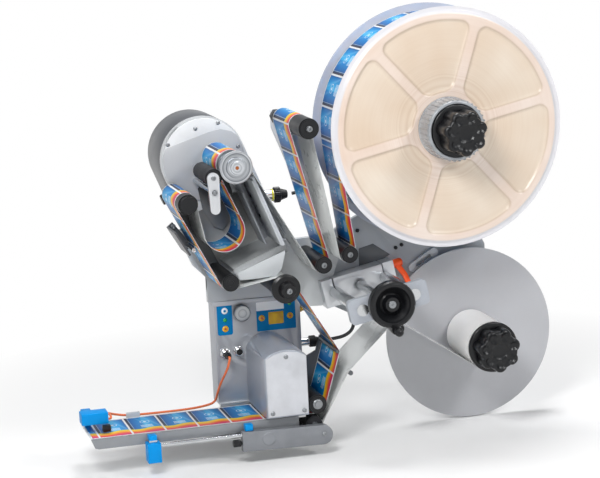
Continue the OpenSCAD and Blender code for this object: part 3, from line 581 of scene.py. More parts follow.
def plate(name, outline, front, back, paint, body="head", width=0.6, turn=None):
    """A flat plate with softened edges; turn is an optional matrix in millimetres."""
    verts, faces = prism(outline, front, back)
    if turn:
        verts = [tuple(turn @ Vector(v)) for v in verts]
    obj = put(name, (verts, faces), paint, body, sharp=0)
    if width:
        soften(obj, width)
    smooth(obj.data, 40)
    return obj


def block(name, low, high, paint, body="head", width=0.8, turn=None):
    """A box with softened edges."""
    corners = [(low[0], low[2]), (high[0], low[2]), (high[0], high[2]), (low[0], high[2])]
    return plate(name, corners, low[1], high[1], paint, body, width, turn)


def arc(centre, radius, first, last, steps):
    """Points of an arc in X and Z, between two angles in degrees."""
    angles = [math.radians(first + (last - first) * k / steps) for k in range(steps + 1)]
    return [(centre[0] + radius * math.cos(a), centre[1] + radius * math.sin(a)) for a in angles]


def rounded(x0, z0, x1, z1, r):
    """Outline of a rectangle with round corners."""
    corners = ((x1 - r, z0 + r), (x1 - r, z1 - r), (x0 + r, z1 - r), (x0 + r, z0 + r))
    points = []
    for number, corner in enumerate(corners):
        points += arc(corner, r, 90 * number - 90, 90 * number, 6)
    return points


def bar(a, b, radius):
    """Outline of a bar with round ends between two points."""
    turn = math.degrees(math.atan2(b[1] - a[1], b[0] - a[0]))
    return arc(b, radius, turn - 90, turn + 90, 10) + arc(a, radius, turn + 90, turn + 270, 10)


def arch(width, height, rise, x, z):
    """Outline with straight sides and a low arch, as seen on the motor cover."""
    radius = (width * width / 4 + rise * rise) / (2 * rise)
    reach = math.degrees(math.asin(width / 2 / radius))
    top = arc((x, z + height - radius), radius, 90 - reach, 90 + reach, 14)
    return [(x - width / 2, z), (x + width / 2, z)] + top


def leaned():
    """Frame of the drive unit, which leans to the left of upright."""
    return Matrix.Translation((UNIT[0], 0, UNIT[1])) @ Matrix.Rotation(-LEAN, 4, "Y")


def rounded_copy(node, paint, width, angle=35, front=None):
    """A merged copy of a CAD solid with softened edges, which stands for it; what lies in front
    of the given Y is left out."""
    source = frame["nodes"][node]
    mesh = source.data.copy()
    work = bmesh.new()
    work.from_mesh(mesh)
    bmesh.ops.remove_doubles(work, verts=work.verts, dist=2e-6)
    if front is not None:
        beyond = [v for v in work.verts if v.co.y < front / 1000]
        bmesh.ops.delete(work, geom=beyond, context="VERTS")
    flat = math.radians(1.0)
    bmesh.ops.dissolve_limit(work, angle_limit=flat, verts=work.verts, edges=work.edges)
    work.to_mesh(mesh)
    work.free()
    obj = link(node + ".finished", mesh)
    mesh.materials.clear()
    mesh.materials.append(FINISH[paint])
    soften(obj, width, angle)
    smooth(obj.data, 38)
    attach(obj, source["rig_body"])
    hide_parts(node)


# The web's route is a list of circles with a signed radius, positive where the web turns left
def heading(a, b):
    """Direction of the straight run between two circles."""
    dx, dz = b[0] - a[0], b[1] - a[1]
    return math.atan2(dz, dx) - math.asin((b[2] - a[2]) / math.hypot(dx, dz))


def around(centre, side):
    """Circle of the web's middle about a roller; side is 1 for a left turn and -1 for a right one."""
    return centre + (side * (DIAMETER[centre] / 2 + GAP + WEB_T / 2),)


def centreline(circles, head=True, tail=True):
    """Points of the web's middle with their left normals, from circle to circle."""
    line = []
    for i, c in enumerate(circles):
        before = heading(circles[i - 1], c) if i else None
        after = heading(c, circles[i + 1]) if i + 1 < len(circles) else None
        if before is None and not head or after is None and not tail:
            continue
        a = after if before is None else before
        b = before if after is None else after
        if c[2] > 0 and b < a - 1e-4:
            b += 2 * math.pi
        if c[2] < 0 and b > a + 1e-4:
            b -= 2 * math.pi
        steps = 0
        if before is not None and after is not None:
            steps = max(1, math.ceil(abs(b - a) / math.radians(6)))
        for k in range(steps + 1):
            t = a + (b - a) * (k / steps if steps else 0)
            n = (-math.sin(t), math.cos(t))
            line.append((c[0] - c[2] * n[0], c[1] - c[2] * n[1], n))
    return line


def between(a, b, share):
    """A point part of the way from one to the other."""
    return tuple(p + (q - p) * share for p, q in zip(a, b))


def ribbon(name, line, body, labels, first=0.0, thick=WEB_T, replaces=(), inset=0.0):
    """A band of web along its centreline: printed on its right side, bare on its left, with
    U in metres along it and V from 0 at the back to 1 at the operator's side."""
    fine = []
    for (x0, z0, n0), (x1, z1, n1) in zip(line, line[1:]):
        parts = max(1, int(math.hypot(x1 - x0, z1 - z0) / 12))
        for k in range(parts):
            fine.append(between((x0, z0), (x1, z1), k / parts) + (between(n0, n1, k / parts),))
    fine.append(line[-1])
    along = [first]
    for a, b in zip(fine, fine[1:]):
        along.append(along[-1] + math.hypot(b[0] - a[0], b[1] - a[1]) / 1000)
    edges = (WEB_BACK - inset, WEB_BACK - WEB_W + inset)
    verts = []
    for x, z, n in fine:
        for o in (-thick / 2, thick / 2):
            verts += [(x + o * n[0], y, z + o * n[1]) for y in edges]
    end = 4 * (len(fine) - 1)
    faces = []
    for a in range(0, end, 4):
        b = a + 4
        faces += [(a, a + 1, b + 1, b), (a + 2, b + 2, b + 3, a + 3)]
        faces += [(a, b, b + 2, a + 2), (a + 1, a + 3, b + 3, b + 1)]
    faces += [(0, 2, 3, 1), (end, end + 1, end + 3, end + 2)]
    obj = put(name, (verts, faces), "paper_white", body, solid=False, replaces=replaces)
    mesh = obj.data
    if labels:
        mesh.materials.append(FINISH["labels"])
    uv = mesh.uv_layers.new(name="web")
    for poly in mesh.polygons:
        if labels and poly.index < end and poly.index % 4 == 0:
            poly.material_index = 1
        for corner in poly.loop_indices:
            index = mesh.loops[corner].vertex_index
            uv.data[corner].uv = (along[index // 4], index % 2)
    return obj, along[-1]


class HeadSizes(bpy.types.PropertyGroup):
    """Sizes that a user would change on the visible pieces."""
    flange_d: FloatProperty(
        name="Flange diameter", description="Outside diameter of the reel flanges",
        default=0.4, unit="LENGTH", min=0.38, max=0.41)
    press: FloatProperty(
        name="Forming depth", description="Depth of the panes in the formed flange",
        default=0.004, unit="LENGTH", min=0.002, max=0.007)
    spokes: IntProperty(
        name="Spokes", description="Raised spokes of the formed flange", default=6, min=5, max=7)
    grip_d: FloatProperty(
        name="Grip diameter", description="Diameter of the star grips",
        default=0.076, unit="LENGTH", min=0.07, max=0.08)
    lobes: IntProperty(
        name="Grip lobes", description="Lobes of a star grip", default=7, min=6, max=8)


class HeadStage(bpy.types.PropertyGroup):
    """Camera and light of the stage."""
    lens: FloatProperty(
        name="Lens", description="Focal length of the camera",
        default=125.4, min=50, max=200, subtype="DISTANCE_CAMERA")
    floor: FloatVectorProperty(
        name="Floor colour", description="Colour of the floor",
        default=linear("#f6f6f6")[:3], subtype="COLOR", size=3, min=0, max=1)
    key: FloatProperty(
        name="Key light", description="Power of the main lamp",
        default=28.0, min=0, max=1000, unit="POWER")


def seen_directly(tree):
    """1 for rays from the camera, off a gloss surface or through glass, and 0 for the others."""
    rays = add(tree, "ShaderNodeLightPath").outputs
    direct = calc(tree, "MAXIMUM", rays["Is Camera Ray"], rays["Is Glossy Ray"])
    return calc(tree, "MAXIMUM", direct, rays["Is Transmission Ray"])


def mix_shaders(tree, share, first, second):
    """Two shaders mixed by a share."""
    inputs = {0: share, 1: first.outputs[0], 2: second.outputs[0]}
    return add(tree, "ShaderNodeMixShader", inputs).outputs[0]


class HEAD_OT_stage(bpy.types.Operator):
    """Sets up the camera at the photograph's angle, a pale floor and soft lamps"""
    bl_idname = "head.stage"
    bl_label = "Stage"

    def execute(self, context):
        stage = context.scene.head_stage
        lens = bpy.data.cameras.new("view")
        lens.lens = stage.lens
        lens.sensor_width = 36
        lens.clip_end = 100
        camera = link("view", lens)
        camera.matrix_world = Matrix((
            (0.96396, 0.09164, -0.24977, -0.9822),
            (-0.26183, 0.16029, -0.95171, -3.4723),
            (-0.04717, 0.98281, 0.17850, 0.7173),
            (0, 0, 0, 1)))
        context.scene.camera = camera
        context.scene.view_settings.view_transform = "Standard"
        # Floor: a sheet under the head, matt to the lamps, which fades to white away from it
        floor = CAD_BOX[0][2] - 0.002
        mesh = bpy.data.meshes.new("floor")
        far = 30
        corners = [(-far, -far, floor), (far, -far, floor), (far, far, floor), (-far, far, floor)]
        mesh.from_pydata(corners, [], [(0, 1, 2, 3)])
        ground = link("floor", mesh)
        material, tree, shader, place = start("matt white paper sweep")
        fill(tree, shader, {
            "Base Color": tuple(stage.floor) + (1,), "Roughness": 0.9, "Specular IOR Level": 0.1})
        away = vector(tree, "LENGTH", place, socket="Value")
        white = scaled(tree, away, 0.45, 0.95, 0.05, 1.0)
        share = calc(tree, "MULTIPLY", seen_directly(tree), white)
        glow = add(tree, "ShaderNodeEmission", {"Color": (1, 1, 1, 1), "Strength": 1.0})
        out = next(node for node in tree.nodes if node.type == "OUTPUT_MATERIAL")
        fill(tree, out, {"Surface": mix_shaders(tree, share, shader, glow)})
        mesh.materials.append(material)
        # Room: soft white, with a grey band at eye level that metal reflects
        world = bpy.data.worlds.new("soft white room")
        context.scene.world = world
        world.use_nodes = True
        tree = world.node_tree
        tree.nodes.clear()
        sight = add(tree, "ShaderNodeTexCoord").outputs["Generated"]
        height = add(tree, "ShaderNodeSeparateXYZ", {0: sight}).outputs["Z"]
        tone = ramp(tree, scaled(tree, height, -0.2, 1.0), [
            (0.0, "#e2e3e5"), (0.17, "#ffffff"), (0.32, "#dcdee0"), (0.5, "#a2a6ac"), (1.0, "#f4f5f6")])
        dim = add(tree, "ShaderNodeBackground", {"Color": tone, "Strength": 0.3})
        plain = add(tree, "ShaderNodeBackground", {"Color": tone, "Strength": 1.0})
        both = mix_shaders(tree, seen_directly(tree), dim, plain)
        add(tree, "ShaderNodeOutputWorld", {"Surface": both})
        aim = Vector((-0.06, -0.1, 0.1))
        lamps = (("key", (-0.95, -1.6, 1.35), 0.6, 1.0), ("fill", (1.3, -2.0, 1.6), 0.6, 0.8),
                 ("top", (0.2, 0.3, 2.6), 0.9, 1.6))
        for name, place, size, share in lamps:
            lamp = bpy.data.lights.new(name, "AREA")
            lamp.size = size
            lamp.energy = stage.key * share
            holder = link(name, lamp)
            holder.location = place
            holder.rotation_mode = "QUATERNION"
            holder.rotation_quaternion = (aim - Vector(place)).to_track_quat("-Z", "Y")
        return {"FINISHED"}


def smooth_route(points):
    """The cable's route after two passes of corner cutting, as in the part's source."""
    for _ in range(2):
        fine = [points[0]]
        for a, b in zip(points, points[1:]):
            fine += [between(a, b, 0.25), between(a, b, 0.75)]
        points = fine + [points[-1]]
    return points


def cable(node, route, diameter, paint):
    """A round cable along a route in millimetres."""
    points, sides = smooth_route(route), 12
    verts, faces = [], []
    last = len(points) - 1
    side = None
    for i, p in enumerate(points):
        t = (Vector(points[min(i + 1, last)]) - Vector(points[max(i - 1, 0)])).normalized()
        side = (side - side.dot(t) * t).normalized() if side else t.orthogonal().normalized()
        other = t.cross(side)
        for k in range(sides):
            a = 2 * math.pi * k / sides
            outward = math.cos(a) * side + math.sin(a) * other
            verts.append(tuple(Vector(p) + diameter / 2 * outward))
    for i in range(last):
        faces += quads(i * sides, (i + 1) * sides, sides)
    faces += [tuple(range(sides))[::-1], tuple(range(last * sides, (last + 1) * sides))]
    obj = put(node + ".jacket", (verts, faces), paint, sharp=50, replaces=[node])


class HEAD_OT_cables(bpy.types.Operator):
    """Orange sensor cable and the two black cables"""
    bl_idname = "head.cables"
    bl_label = "Cables"

    def execute(self, context):
        cable("sensor_cable", [
            (-238, -130.9, -99), (-238, -138, -99), (-243, -134, -120), (-252, -116, -146),
            (-257, -106, -168), (-259, -100, -180), (-268, -97, -186), (-300, -96, -190),
            (-360, -96, -190), (-410, -96, -189), (-434, -96, -184), (-448, -120, -174),
            (-448, -150, -170), (-450, -168, -171), (-456.7, -170, -171)], 4, "cable_orange")
        cable("upper_cable", [
            (-97.7, -62, 158), (-90, -62, 159), (-80, -62, 156), (-74, -63, 140), (-72, -66, 110),
            (-60, -69, 88), (-30, -71.2, 78), (-10.3, -71.2, 78)], 6, "cable_black")
        cable("lower_cable", [
            (-60.7, -84, -98), (-46, -84, -98), (-22, -82, -96), (-5, -76, -88), (0, -71.2, -74),
            (0, -71.2, -62), (0, -71.2, -54.3)], 6, "cable_black")
        return {"FINISHED"}


class HEAD_OT_solids(bpy.types.Operator):
    """Finishes of the machined and cast solids, with softened edges on the large ones"""
    bl_idname = "head.solids"
    bl_label = "Machined solids"

    def execute(self, context):
        own = {"drive_spindle": "spindle", "end_plate": "end_plate", "beak_bar": "bar_end",
               "ring_plate": "ring_plate", "side_wall": "side_wall"}
        for node, obj in frame["nodes"].items():
            paint = own.get(node, SLOTS[node].replace("label_blue", "core_white"))
            obj.data.materials.clear()
            obj.data.materials.append(FINISH[paint])
        widths = {
            "slide_block": 0.8, "carrier_plate": 0.8, "main_plate": 1.0, "end_plate": 0.8,
            "stand_plate": 0.8, "control_box": 1.2, "beak_bar": 0.7, "side_wall": 0.7,
            "drive_housing": 1.2, "ring_plate": 0.5, "hold_down": 0.8, "label_sensor": 1.0,
            "nip_lever": 0.7, "dancer_arm": 0.6}
        for node, width in widths.items():
            rounded_copy(node, own.get(node, SLOTS[node]), width)
        rounded_copy("motor_cover", "cover", 1.6, front=-228.005)
        return {"FINISHED"}


class HEAD_OT_web(bpy.types.Operator):
    """Label web from the reel to the peel edge, and the backing paper to the rewinder"""
    bl_idname = "head.web"
    bl_label = "Web"

    def execute(self, context):
        skin = GAP + WEB_T / 2
        reel, tip = REEL + (ROLL_R + skin,), (BEAK_X, BEAK_TOP - PEEL_R, PEEL_R + skin)
        right, left, infeed = around(GUIDE_R, -1), around(GUIDE_L, -1), around(INFEED, -1)
        dancer, drive = around(DANCER, 1), around(DRIVE, 1)
        supply = centreline([reel, right, dancer], tail=False)
        _, done = ribbon("web_supply.paper", supply, "head", True, replaces=["web_supply"])
        over = centreline([right, dancer, left])
        span, done = ribbon("web_dancer.paper", over, "head", True, done, replaces=["web_dancer"])
        # this run is carried by the head at one end and by the dancer at the other
        span.parent = None
        del span["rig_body"]
        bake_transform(span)
        run = centreline([
            dancer, left, drive, SAG + (-SAG_R,), around(LOOP, 1), around(LOW, 1),
            around(TURN, -1), around(FOLD, -1), infeed, tip], head=False)
        ribbon("web_run.paper", run, "head", True, done, replaces=["web_run"])
        back = centreline([
            infeed, tip, around(TRACT, 1), around(NOTCH, -1), around(PAPER, -1),
            REWIND + (REWOUND_R + skin,)], head=False)
        ribbon("backing.paper", back, "head", False, replaces=["backing"])
        return {"FINISHED"}


def formed_flange(outer, press, spokes, front):
    """Front flange of the reel: a sheet with panes pressed in between raised spokes, and a flat
    rim. Its point attribute is 1 on the floor of a pane and 0 on the spokes."""
    inner, count, steps = 37, 84, 432
    pane_in, pane_out, half_spoke, corner, slope = 61, outer - 23, 9.5, 15, 7
    cell, turn = 2 * math.pi / spokes, math.radians(12)
    verts, deep, faces = [], [], []
    for i in range(count + 1):
        r = inner + (outer - inner) * (i / count)
        for k in range(steps):
            a = 2 * math.pi * k / steps
            off = (a - turn) % cell
            off = min(off, cell - off)
            gaps = (r - pane_in, pane_out - r, r * math.sin(off) - half_spoke)
            depth = min(gaps)
            if depth < corner:
                depth = corner - math.sqrt(sum(max(corner - gap, 0) ** 2 for gap in gaps))
            w = min(1, max(0, depth / slope + 0.5))
            w = w * w * (3 - 2 * w)
            rise = press * (1 - w)
            if r >= outer - 11:
                rise = press * max(0, (outer - 6 - r) / 5)
            verts.append((REEL[0] + r * math.cos(a), front - rise, REEL[1] + r * math.sin(a)))
            deep.append(w)
    for i in range(count):
        faces += quads(i * steps, (i + 1) * steps, steps)
    # closed at the back by a flat sheet
    last, base = count * steps, len(verts)
    for r in (inner, outer):
        verts += circle(REEL, r, front + 1.6, steps)
        deep += [0] * steps
    for low, high in ((base + steps, base), (last, base + steps), (base, 0)):
        faces += quads(low, high, steps)
    flange = put("reel_front_flange.formed", (verts, faces), "flange_cream", "reel", sharp=50,
                 replaces=["reel_front_flange"])
    flange.data.attributes.new("pane", "FLOAT", "POINT").data.foreach_set("value", deep)


def hub_ribs(y):
    """Moulded ribs around the hub's drum, as wedges that run along it."""
    verts, faces = [], []
    for i in range(36):
        a = 2 * math.pi * (i + 0.5) / 36
        out, along = (math.cos(a), math.sin(a)), (-math.sin(a), math.cos(a))
        for h in (6.0, 43.0):
            for reach, half in ((49.7, 1.5), (51.4, 0.9)):
                for w in (-half, half):
                    x, z = (REEL[c] + reach * out[c] + w * along[c] for c in (0, 1))
                    verts.append((x, y - h, z))
        for face in ((0, 1, 3, 2), (4, 6, 7, 5), (0, 2, 6, 4), (1, 5, 7, 3), (2, 3, 7, 6), (0, 4, 5, 1)):
            faces.append(tuple(8 * i + c for c in face))
    put("reel_hub.ribs", (verts, faces), "hub_clear", "reel")


class HEAD_OT_reel(bpy.types.Operator):
    """Formed front flange, label roll and ribbed hub"""
    bl_idname = "head.reel"
    bl_label = "Reel"

    def execute(self, context):
        sizes = context.scene.head_sizes
        press, front = sizes.press * 1000, PLATE - 116
        formed_flange(sizes.flange_d * 500, press, sizes.spokes, front)
        # label roll: its outermost turn carries the labels
        line = [(x, z, ((REEL[0] - x) / ROLL_R, (REEL[1] - z) / ROLL_R))
                for x, z in arc(REEL, ROLL_R, 0, 360, 240)]
        ribbon("reel_roll.labels", line, "reel", True, thick=0.3, inset=0.4)
        core, wound, side = 44, ROLL_R - 0.6, WEB_BACK - WEB_W
        body = lathe([(core, WEB_BACK), (wound, WEB_BACK), (wound, side), (core, side)], REEL, 128)
        put("reel_roll.wound", body, "core_white", "reel", replaces=["reel_roll"])
        # frosted drum in front of the flange
        y = front - press
        spun("reel_hub.drum", [
            (16, 2), (51, 0), (52, 1), (52, 5), (50.6, 6.5), (50, 8), (50, 38), (49.6, 42),
            (48.6, 44.6), (47, 45.6), (44.6, 45.4), (43.6, 43), (43.5, 28), (16, 27), (16, 2)],
            (REEL[0], y, REEL[1]), FORWARD, "hub_clear", "reel", steps=288, sharp=40,
            replaces=["reel_hub"])
        hub_ribs(y)
        return {"FINISHED"}


def star(node, centre, y, height, diameter, lobes):
    """Star grip: a round collar, a fine gap, a lobed grip with a dished face and pockets."""
    steps, half = lobes * 36, diameter / 2
    lobe, waist = diameter * 0.14, half * 0.855
    arm = half - lobe
    # share of the lobes' shape, radius as a share of the grip or in millimetres, and height
    profile = [
        (0, half + 4, 0), (0, half + 5, 1), (0, half + 5, 6), (0, half + 4.4, 7.4),
        (0, half + 3, 8), (0, half - 6, 8), (0, half - 6.6, 9.2), (1, 0.94, 9.4), (1, 0.985, 10.4),
        (1, 1, 12), (1, 1, height - 7), (1, 0.985, height - 3.6), (1, 0.95, height - 1.4),
        (1, 0.9, height - 0.3), (0.9, 0.85, height), (0.7, 0.78, height - 0.6),
        (0.5, 0.7, height - 1.3), (0.3, 0.6, height - 1.9), (0.1, 0.48, height - 1.7),
        (0, 0.4, height - 1.9), (0, 0.34, height - 3.6), (0, 0.3, height - 4.4),
        (0, 0.12, height - 4.6)]
    verts, faces = [], []
    for lobed, size, z in profile:
        for k in range(steps):
            a = 2 * math.pi * (k / steps + 0.3 / lobes)
            off = (k / steps * lobes + 0.5) % 1 - 0.5
            swing = arm * math.sin(2 * math.pi * off / lobes)
            reach = waist
            if abs(swing) < lobe:
                tip = arm * math.cos(2 * math.pi * off / lobes) + math.sqrt(lobe * lobe - swing * swing)
                reach += max(0, tip - waist) * min(1, max(0, (tip - waist) / 3 + 0.5))
            r = size if size > 1.01 else size * (half * (1 - lobed) + reach * lobed)
            pocket = 0
            if 0.45 < size < 0.8:
                middle = min(1, max(0, 1 - abs(off) * 2.8) * 1.6)
                pocket = 2.8 * middle * min(1, (size - 0.45) * 12, (0.84 - size) * 12)
            verts.append((centre[0] + r * math.cos(a), y - z + pocket, centre[1] + r * math.sin(a)))
    last = (len(profile) - 1) * steps
    for row in range(0, last, steps):
        faces += quads(row, row + steps, steps)
    faces += [tuple(range(steps)), tuple(reversed(range(last, last + steps)))]
    put(node + ".grip", (verts, faces), "black_plastic", node, sharp=50, replaces=[node])


class HEAD_OT_grips(bpy.types.Operator):
    """Star grips of the reel and of the rewinder"""
    bl_idname = "head.grips"
    bl_label = "Star grips"

    def execute(self, context):
        sizes = context.scene.head_sizes
        for node, centre, y, height in (("reel_knob", REEL, -260.3, 52), ("rewind_knob", REWIND, -220.6, 40)):
            star(node, centre, y, height, sizes.grip_d * 1000, sizes.lobes)
        return {"FINISHED"}


class HEAD_OT_panel(bpy.types.Operator):
    """Blue panels, display, bare name bar, lamps, key caps and dial of the control box"""
    bl_idname = "head.panel"
    bl_label = "Control panel"

    def execute(self, context):
        # prints and windows: outline, heights of front and back over the box, finish and slot
        box = PLATE - 0.02
        for name, sides, front, back, paint, slot in (
                ("panel_left.print", (-248.5, -68, -222, -12.5, 4), 0.5, 0, "panel_blue", "bright_blue"),
                ("panel_right.print", (-180, -67.5, -111.5, -16, 1.5), 0.5, 0, "panel_blue", "bright_blue"),
                ("name_bar.bare", (-180, -32, -131.6, -16, 0.6), 0.7, 0.45, "panel_white", "paper_white"),
                ("display.window", (-159.3, -57, -132.8, -36, 1.2), 0.9, 0.4, "display", "key_yellow")):
            plate(name, rounded(*sides), box - front, box - back, paint, width=0)
        for name, x, z in (("lamp_run", -235, -42), ("lamp_ready", -121.5, -24)):
            dome = [(0, -2.4), (2, -2.2), (3.2, -1.4), (3.5, -0.5), (3.5, 0)]
            shape = lathe([(r, box + h) for r, h in dome], (x, z), 24)
            put(name + ".lens", shape, "lens_green")
        cap = [(0, -0.9), (3, -0.75), (4.4, -0.2), (5.0, 0.3), (5.4, 0.2), (5.5, 1), (5.5, 4)]
        mark = [(0, -1.05), (2.1, -1.0), (2.3, -0.8), (2.3, 0)]
        y = PLATE - 1.2
        for key, x, z, paint, ink in (
                ("key_white", -235, -26, "key_white", "panel_blue"),
                ("key_yellow", -235, -57, "key_yellow", "key_mark"),
                ("key_minus", -171, -45, "key_yellow", "key_mark"),
                ("key_plus", -121.5, -45, "key_yellow", "key_mark")):
            shape = lathe([(r, y + h) for r, h in cap], (x, z), 40)
            put(key + ".cap", shape, paint, key, replaces=[key])
            shape = lathe([(r, y + h) for r, h in mark], (x, z), 24)
            put(key + ".mark", shape, ink, key)
        knob = [(5, 0), (13.6, 0), (14, -0.6), (14, -9.2), (13.2, -10), (12.4, -10.2), (0, -9.9)]
        shape = lathe([(r, PLATE - 1.8 + h) for r, h in knob], DIAL, 96)
        put("dial.knob", shape, "dial", "dial", replaces=["dial"])
        return {"FINISHED"}


class HEAD_OT_covers(bpy.types.Operator):
    """Sheets of the motor cover and drive chamber, slotted bar, beak's lip and small blocks"""
    bl_idname = "head.covers"
    bl_label = "Covers"

    def execute(self, context):
        plate("motor_cover.front_plate", arch(69, 108.5, 10, -165, -184.3), -231, -227.9,
              "cover_plate", width=0.8)
        # drive chamber, in the leaning frame of the drive unit: back, inset, and a sheet inside the web loop;
        # the back and that sheet carry painted shade, darker towards the drive roller
        unit = leaned()
        block("chamber.back", (-58, -100.5, -164), (43, -99.9, -76), "chamber",
              width=0, turn=unit)
        inset = arc((0, 0), 69, -32, 10, 7)
        inset += [(62, 22), (46, 34), (27, 38), (3, 40), (-25, 42.5), (-50, 44.6)]
        inset += arc((0, 0), 69, 148, 286, 23) + [(24, -37)]
        plate("ring_plate.inset", inset, -103.5, -102.9, "inset",
              width=0.3, turn=unit)
        # sheet where the inside of the web loop lies in shade: its dark colour is painted shade
        shade_outline = [(-30, -40), (9, -19), (24, -38), (21, -70), (0, -112), (-20, -122), (-33, -110),
                  (-37, -74)]
        plate("chamber.lining", shade_outline, -103.9, -103.4, "chamber", width=0.2,
              turn=unit)
        # rounded rib and dark screws on the side wall, and the light apron under the shelf
        block("side_wall.rib", (41, -207.6, -165), (44.2, -150, -46), "apron",
              width=1.4, turn=unit)
        inward = unit.to_3x3() @ Vector(TO_LEFT)
        for number, (y, z) in enumerate(((-118, -88), (-137, -104), (-121, -124), (-140, -146))):
            spun(f"side_wall.screw_{number}", [(0, 0), (3, 0), (2.8, 0.8), (1.4, 1), (1.2, 0.3), (0, 0.3)],
                 unit @ Vector((43.9, y, z)), inward, "dark_screw", steps=24)
        apron = [(-44, -175), (47, -177), (42, -184), (36, -192), (28, -203), (15, -210),
                 (-16, -199), (-44, -188)]
        plate("shelf.apron", apron, -200, -195.5, "apron", width=2, turn=unit)
        # slotted bar in front of the carrier plate
        rings = (bar((104, 15), (142, 38), 8), bar((112, 20), (134, 33), 3.2))
        n = len(rings[0])
        verts = [(x, y, z) for y in (-94.5, -87.7) for ring in rings for x, z in ring]
        faces = quads(0, n, n) + quads(3 * n, 2 * n, n) + quads(2 * n, 0, n) + quads(n, 3 * n, n)
        put("carrier.slotted_bar", (verts, faces), "plate_grey", sharp=40)
        # dark sheet on the carrier plate: painted shade where the plate shows a shadowed area
        shade_patch = [(9, 56.2), (34.9, 62.5), (64.9, 41), (52, 33.4), (8.4, 26)]
        plate("carrier.facet", shade_patch, -88.4, -87.6, "dark_plate", width=0.2)
        # boss on the beak bar, and the brass fitting on the box's side
        spun("beak_bar.boss", [(0, 0), (11, 0), (11, 0.4), (10.2, 1), (3, 1.2), (0, 1.2)],
             (-201.8, -236, -218.4), FORWARD, "bar_end")
        spun("box.brass_fitting", [(0, 0), (6.6, 0), (6.6, 6), (5.4, 6.4), (5, 9), (5, 16), (0, 16.4)],
             (-103, -84, -38), TO_RIGHT, "brass", steps=36, ribs=6, rib=0.8)
        # lip, sensor foot and clip of the beak, and the stem of its hold-down
        top, end = BEAK_TOP + 0.1, INFEED[0] - 33
        lip = [(BEAK_X - 4, top), (BEAK_X + 2, top - 15), (BEAK_X + 8, top - 17), (end, top - 17), (end, top)]
        plate("beak.lip_paint", lip, -216.12, -213.9, "lip", width=0.4)
        block("sensor.foot", (-469, -193, -187), (-455, -183.9, -175.5), "black_plastic", width=1.6)
        block("beak.clip", (-414, -105.6, -192.9), (-391, -99.6, -182.5), "plate_grey")
        block("hold_down.stem", (-401.2, -234.2, -203.2), (-387.8, -224.9, -198.6), "steel_bar",
              "hold_down", width=0.3)
        return {"FINISHED"}


def stretched(profile, wide=1.0, long=1.0):
    """A profile with its radii and its lengths scaled."""
    return [(r * wide, h * long) for r, h in profile]


